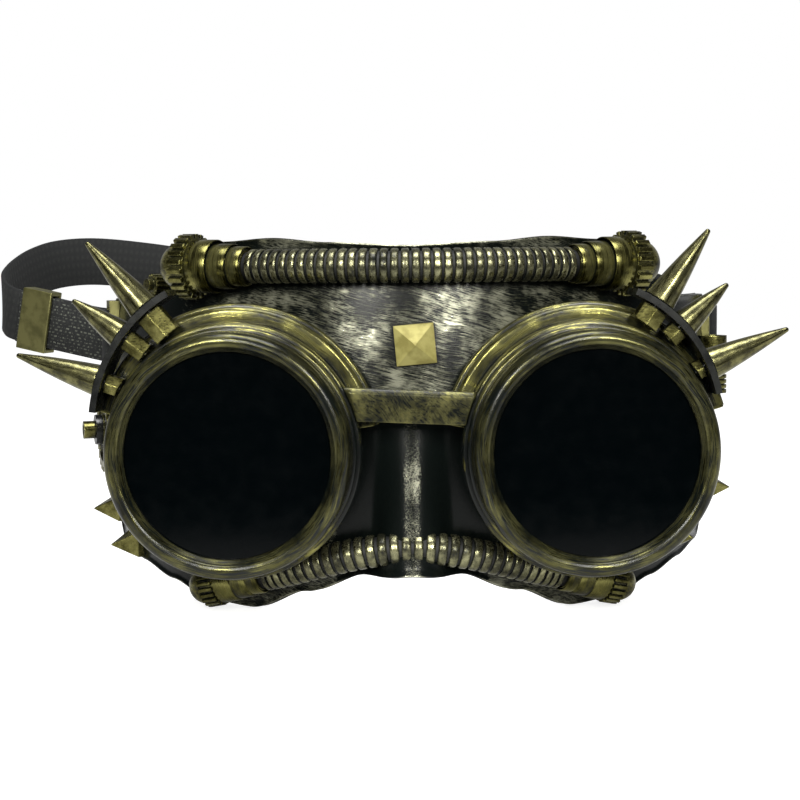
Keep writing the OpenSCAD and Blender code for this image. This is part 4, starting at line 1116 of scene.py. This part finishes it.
# %% [markdown]
# A band can't bend at a point, so a smooth curve runs through the route. Its pull at each point is as
# long as the stretch beside it, which keeps short folds tight and long runs full.


# %% Strap curve
def spline_point(p, i, t):
    a, b, c, d = p[max(i - 1, 0)], p[i], p[i + 1], p[min(i + 2, len(p) - 1)]
    reach = (c - b).length
    return ((2 * t ** 3 - 3 * t ** 2 + 1) * b + (t ** 3 - 2 * t ** 2 + t) * reach * (c - a).normalized()
            + (3 * t ** 2 - 2 * t ** 3) * c + (t ** 3 - t ** 2) * reach * (d - b).normalized())


STRAP_STEPS = 9
strap_path = []
for i in range(len(route) - 1):
    strap_path += [spline_point(route, i, k / STRAP_STEPS) for k in range(STRAP_STEPS)]
strap_path.append(route[-1])
strap_length = sum((b - a).length for a, b in zip(strap_path, strap_path[1:]))
print("strap path", round(strap_length), "mm")

# %% [markdown]
# Woven elastic shows fine ribs across the band and a firm edge. Light threads in the turned-back end
# show as broken dashes. Waves on the UV map make the ribs, and a brick pattern makes the dashes. A wave
# texture draws 20 / 2 pi bands in each unit of its scale. The ribs are about twice as coarse as real
# ones, so that they show.


# %% Webbing
PICK_MM, THREAD_MM, FLUFF_MM, TAB_MM = 1.776, 2.466, 1.1, 34
DASH_MM, DASH_ROW_MM, DASH_GAP_MM = 1.5, 0.95, 0.33
BANDS_A_UNIT = 20 / (2 * math.pi)


def webbing_finish():
    material, tree = new_material("woven_elastic")
    uv = add(tree, "ShaderNodeUVMap", {"uv_map": "length"}).outputs[0]
    split = add(tree, "ShaderNodeSeparateXYZ", None, {0: uv})
    ribs = add(tree, "ShaderNodeTexWave", {"wave_type": "BANDS", "bands_direction": "X"}, {
        "Vector": uv, "Scale": 1 / (PICK_MM * MM) / BANDS_A_UNIT, "Distortion": 0.6, "Detail": 2.0})
    rows = add(tree, "ShaderNodeTexWave", {"wave_type": "BANDS", "bands_direction": "Y"}, {
        "Vector": uv, "Scale": 1 / (THREAD_MM * MM) / BANDS_A_UNIT, "Distortion": 0.4})
    weave = add(tree, "ShaderNodeMath", {"operation": "MULTIPLY"},
                {0: ribs.outputs["Fac"], 1: rows.outputs["Fac"]})
    fluff = add(tree, "ShaderNodeTexNoise", None, {
        "Vector": uv, "Scale": 1 / (FLUFF_MM * MM), "Detail": 6.0})
    dashes = add(tree, "ShaderNodeTexBrick", {"offset": 0.5}, {
        "Vector": uv, "Scale": 1.0, "Brick Width": DASH_MM * MM, "Row Height": DASH_ROW_MM * MM,
        "Mortar Size": DASH_GAP_MM * MM, "Mortar Smooth": 0.4, "Color1": (1, 1, 1, 1),
        "Color2": (0.25, 0.25, 0.25, 1), "Mortar": (0, 0, 0, 1)})
    tab_end = add(tree, "ShaderNodeMath", {"operation": "LESS_THAN"},
                  {0: split.outputs["X"], 1: TAB_MM * MM})
    speck = add(tree, "ShaderNodeMath", {"operation": "GREATER_THAN"}, {0: fluff.outputs[0], 1: 0.5})
    on_tab = add(tree, "ShaderNodeMath", {"operation": "MULTIPLY"},
                 {0: dashes.outputs["Color"], 1: tab_end.outputs[0]})
    broken = add(tree, "ShaderNodeMath", {"operation": "MULTIPLY"},
                 {0: on_tab.outputs[0], 1: speck.outputs[0]})
    amount = add(tree, "ShaderNodeMath", {"operation": "MULTIPLY_ADD", "use_clamp": True},
                 {0: weave.outputs[0], 1: 0.05, 2: broken.outputs[0]})
    colour = add(tree, "ShaderNodeMix", {"data_type": "RGBA"}, {
        "Factor": amount.outputs[0], "A": srgb("#07090b"), "B": srgb("#565950")})
    height = add(tree, "ShaderNodeBump", None, {
        "Height": weave.outputs[0], "Strength": 0.6, "Distance": 0.12 * MM})
    shader = add(tree, "ShaderNodeBsdfPrincipled", None, {
        "Base Color": colour.outputs["Result"], "Roughness": 0.85, "Sheen Weight": 0.01,
        "Sheen Roughness": 0.5, "Normal": height.outputs[0]})
    finish_material(tree, shader)
    return material


webbing = webbing_finish()
print(webbing.name, "made")

# %% [markdown]
# The band is its cross-section carried along the path. The corners are cut back for the soft selvedges.
# Its UV map runs in metres along and across, so the weave keeps its real size round every bend.

# %% Strap
half_w, half_t, soft = STRAP_W / 2, STRAP_T / 2, 0.3
section = [(-half_w, -half_t + soft), (-half_w + soft, -half_t), (half_w - soft, -half_t),
           (half_w, -half_t + soft), (half_w, half_t - soft), (half_w - soft, half_t),
           (-half_w + soft, half_t), (-half_w, half_t - soft)]
strap_verts, strap_faces, strap_runs = [], [], []
run = 0.0
for i, p in enumerate(strap_path):
    ahead = (strap_path[min(i + 1, len(strap_path) - 1)] - strap_path[max(i - 1, 0)]).normalized()
    flat = Vector((-ahead.y, ahead.x, 0)).normalized()
    across = ahead.cross(flat)
    if i:
        run += (p - strap_path[i - 1]).length
    strap_runs.append(run)
    for w, t in section:
        strap_verts.append((p + w * across + t * flat) * MM)
n = len(section)
for i in range(len(strap_path) - 1):
    for k in range(n):
        a, b = i * n + k, i * n + (k + 1) % n
        strap_faces.append((a, b, b + n, a + n))
last = (len(strap_path) - 1) * n
strap_faces += [tuple(range(n)), tuple(range(last, last + n))]
strap = make_object("webbing_strap", strap_verts, strap_faces, webbing, sharp=60)
uv_layer = strap.data.uv_layers.new(name="length")
for loop in strap.data.loops:
    index = loop.vertex_index
    uv_layer.data[loop.index].uv = (strap_runs[index // n] * MM, section[index % n][0] * MM)
dressed(strap, ROOT, "strap")
print("strap", len(strap.data.polygons), "faces")

# %% [markdown]
# The slider is a short folded sleeve of sheet brass. It is a tube with a rectangular window for the
# doubled strap, and the Bevel modifier rounds its folded edges.

# %% Slider
SLIDER_L, SLIDER_WALL, STRAP_GAP, SLIDER_AT = 9.8, 1.1, 0.4, 19.6
FOLD_R, FOLD_STEPS = 0.32, 3
window = (2 * STRAP_T + PLY_GAP + 2 * STRAP_GAP, STRAP_W + 2 * STRAP_GAP)
outside = (window[0] + 2 * SLIDER_WALL, window[1] + 2 * SLIDER_WALL)
slider_middle = STRAP_FROM + SLIDER_AT * STRAP_DIR
slider_up = STRAP_DIR.cross(STRAP_SIDE)
slider_verts, slider_faces = [], []
for end in (-SLIDER_L / 2, SLIDER_L / 2):
    for size in (outside, window):
        for a, b in ((-1, -1), (1, -1), (1, 1), (-1, 1)):
            p = (slider_middle + end * STRAP_DIR + a * size[0] / 2 * STRAP_SIDE
                 + b * size[1] / 2 * slider_up)
            slider_verts.append(p * MM)
for k in range(4):
    j = (k + 1) % 4
    slider_faces += [(k, j, 8 + j, 8 + k), (4 + k, 12 + k, 12 + j, 4 + j), (k, 4 + k, 4 + j, j),
                     (8 + k, 8 + j, 12 + j, 12 + k)]
slider = make_object("folded_slider", slider_verts, slider_faces, slider_brass, sharp=30)
soften = slider.modifiers.new("soften", "BEVEL")
soften.width = FOLD_R * MM
soften.segments = FOLD_STEPS
soften.limit_method = "ANGLE"
dressed(slider, "slider", "strap_slider")
print("slider made")

# %% [markdown]
# The pieces whose CAD shape is right keep it and only get a finish. The brass ones' edges are softened
# in the shader, by its Bevel node.

# %% Finishes for the kept pieces
KEPT = {
    "forehead_stud": satin_brass, "left_strap_lug": slider_brass, "right_strap_lug": slider_brass,
    "left_spike_band": black_plastic, "right_spike_band": black_plastic, "left_temple_washer": black_plastic,
}
for node in ("brow_gear", "brow_cap", "cheek_gear", "cheek_cap", "spike_nuts", "side_studs"):
    for name in SIDES:
        KEPT[name + "_" + node] = brushed_fittings
for node in ("left_temple_gear", "left_temple_bolt", "left_side_knob", "right_canister"):
    KEPT[node] = brushed_fittings
for node, material in KEPT.items():
    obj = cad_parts[node]
    obj.data.materials.clear()
    obj.data.materials.append(material)
print(len(KEPT), "kept pieces finished")

# %% [markdown]
# The floor is white paper: white to the camera by its own glow, so that no lamp has to be raised for
# it, and dim in reflections. Its diffuse part keeps the object's shadow.

# %% Floor
FLOOR_FRONT, FLOOR_BACK, FLOOR_SIDE, FLOOR_GAP = -0.14, 1.6, 0.9, 0.0005
FLOOR_GLOW, FLOOR_MIRRORED = 0.8, 0.07
floor_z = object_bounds()[0].z - FLOOR_GAP
floor_mesh = bpy.data.meshes.new("floor")
floor_mesh.from_pydata([(x, y, floor_z) for x, y in (
    (-FLOOR_SIDE, FLOOR_FRONT), (FLOOR_SIDE, FLOOR_FRONT), (FLOOR_SIDE, FLOOR_BACK),
    (-FLOOR_SIDE, FLOOR_BACK))], [], [(0, 1, 2, 3)])
floor = bpy.data.objects.new("floor", floor_mesh)
bpy.context.collection.objects.link(floor)
paper, tree = new_material("white_paper")
path = add(tree, "ShaderNodeLightPath").outputs
mirrored = add(tree, "ShaderNodeMath", {"operation": "MAXIMUM"},
               {0: path["Is Glossy Ray"], 1: path["Is Transmission Ray"]})
shown = add(tree, "ShaderNodeMath", {"operation": "MULTIPLY_ADD"},
            {0: mirrored.outputs[0], 1: FLOOR_MIRRORED, 2: path["Is Camera Ray"]})
strength = add(tree, "ShaderNodeMath", {"operation": "MULTIPLY"}, {0: shown.outputs[0], 1: FLOOR_GLOW})
glow = add(tree, "ShaderNodeEmission", None, {"Color": (1, 1, 1, 1), "Strength": strength.outputs[0]})
matt = add(tree, "ShaderNodeBsdfDiffuse", None, {"Color": srgb("#d8d8d8")})
both = add(tree, "ShaderNodeAddShader", None, {0: glow.outputs[0], 1: matt.outputs[0]})
finish_material(tree, both)
floor_mesh.materials.append(paper)
print("floor at", round(floor_z, 4), "m")

# %% [markdown]
# The world is white to the camera. Metal and lenses see the white backdrop only behind the object,
# because the room in front of it is dark, and the rest of its light is weak and even.

# %% World
WORLD_DARK, WORLD_BRIGHT, WORLD_DIFFUSE = 0.02, 0.4, 0.3
world = bpy.data.worlds.new("studio")
bpy.context.scene.world = world
world.use_nodes = True
tree = world.node_tree
tree.nodes.clear()
path = add(tree, "ShaderNodeLightPath").outputs
direction = add(tree, "ShaderNodeTexCoord").outputs["Generated"]
parts = add(tree, "ShaderNodeSeparateXYZ", None, {0: direction})
behind = add(tree, "ShaderNodeMapRange", {"interpolation_type": "SMOOTHSTEP"}, {
    "Value": parts.outputs["Y"], "From Min": 0.1, "From Max": 0.8,
    "To Min": WORLD_DARK, "To Max": WORLD_BRIGHT})
glossy = add(tree, "ShaderNodeMath", {"operation": "MAXIMUM"},
             {0: path["Is Glossy Ray"], 1: path["Is Transmission Ray"]})
mirror = add(tree, "ShaderNodeMath", {"operation": "MULTIPLY"}, {0: glossy.outputs[0], 1: behind.outputs[0]})
diffuse = add(tree, "ShaderNodeMath", {"operation": "MULTIPLY"},
              {0: path["Is Diffuse Ray"], 1: WORLD_DIFFUSE})
other = add(tree, "ShaderNodeMath", {"operation": "ADD"}, {0: mirror.outputs[0], 1: diffuse.outputs[0]})
total = add(tree, "ShaderNodeMath", {"operation": "MAXIMUM"}, {0: other.outputs[0], 1: path["Is Camera Ray"]})
sky = add(tree, "ShaderNodeBackground", None, {"Color": (1, 1, 1, 1), "Strength": total.outputs[0]})
add(tree, "ShaderNodeOutputWorld", None, {"Surface": sky.outputs[0]})
print(world.name, "world made")

# %% [markdown]
# Two narrow strip boxes give the paired streaks on forehead and nose. The overhead box lights the tops
# of the bezels and hoses. Each box stands at an azimuth and elevation, in degrees, and faces the
# object.

# %% Lamps
AIM, LAMP_DISTANCE = Vector((0, 0.02, 0)), 0.9
STRIP_TURN, STRIP_RISE, STRIP_SIZE, STRIP_POWER = 16, 20, (0.07, 0.3), 5.0
OVERHEAD_RISE, OVERHEAD_SIZE, OVERHEAD_POWER = 78, (0.5, 0.45), 9.0
STRIP_WHITE, OVERHEAD_WHITE = "#fffef6", "#ffffff"


def soft_box(name, azimuth, elevation, size, power, colour):
    data = bpy.data.lights.new(name, "AREA")
    data.shape = "RECTANGLE"
    data.size, data.size_y = size
    data.energy = power
    data.color = srgb(colour)[:3]
    light = bpy.data.objects.new(name, data)
    bpy.context.collection.objects.link(light)
    a, e = math.radians(azimuth), math.radians(elevation)
    back = Vector((math.sin(a) * math.cos(e), -math.cos(a) * math.cos(e), math.sin(e)))
    light.location = AIM + back * LAMP_DISTANCE
    light.rotation_mode = "QUATERNION"
    light.rotation_quaternion = (-back).to_track_quat("-Z", "Y")


for name, side in SIDES.items():
    soft_box(name + "_strip", side * STRIP_TURN, STRIP_RISE, STRIP_SIZE, STRIP_POWER, STRIP_WHITE)
soft_box("overhead", 0, OVERHEAD_RISE, OVERHEAD_SIZE, OVERHEAD_POWER, OVERHEAD_WHITE)
print("studio ready")
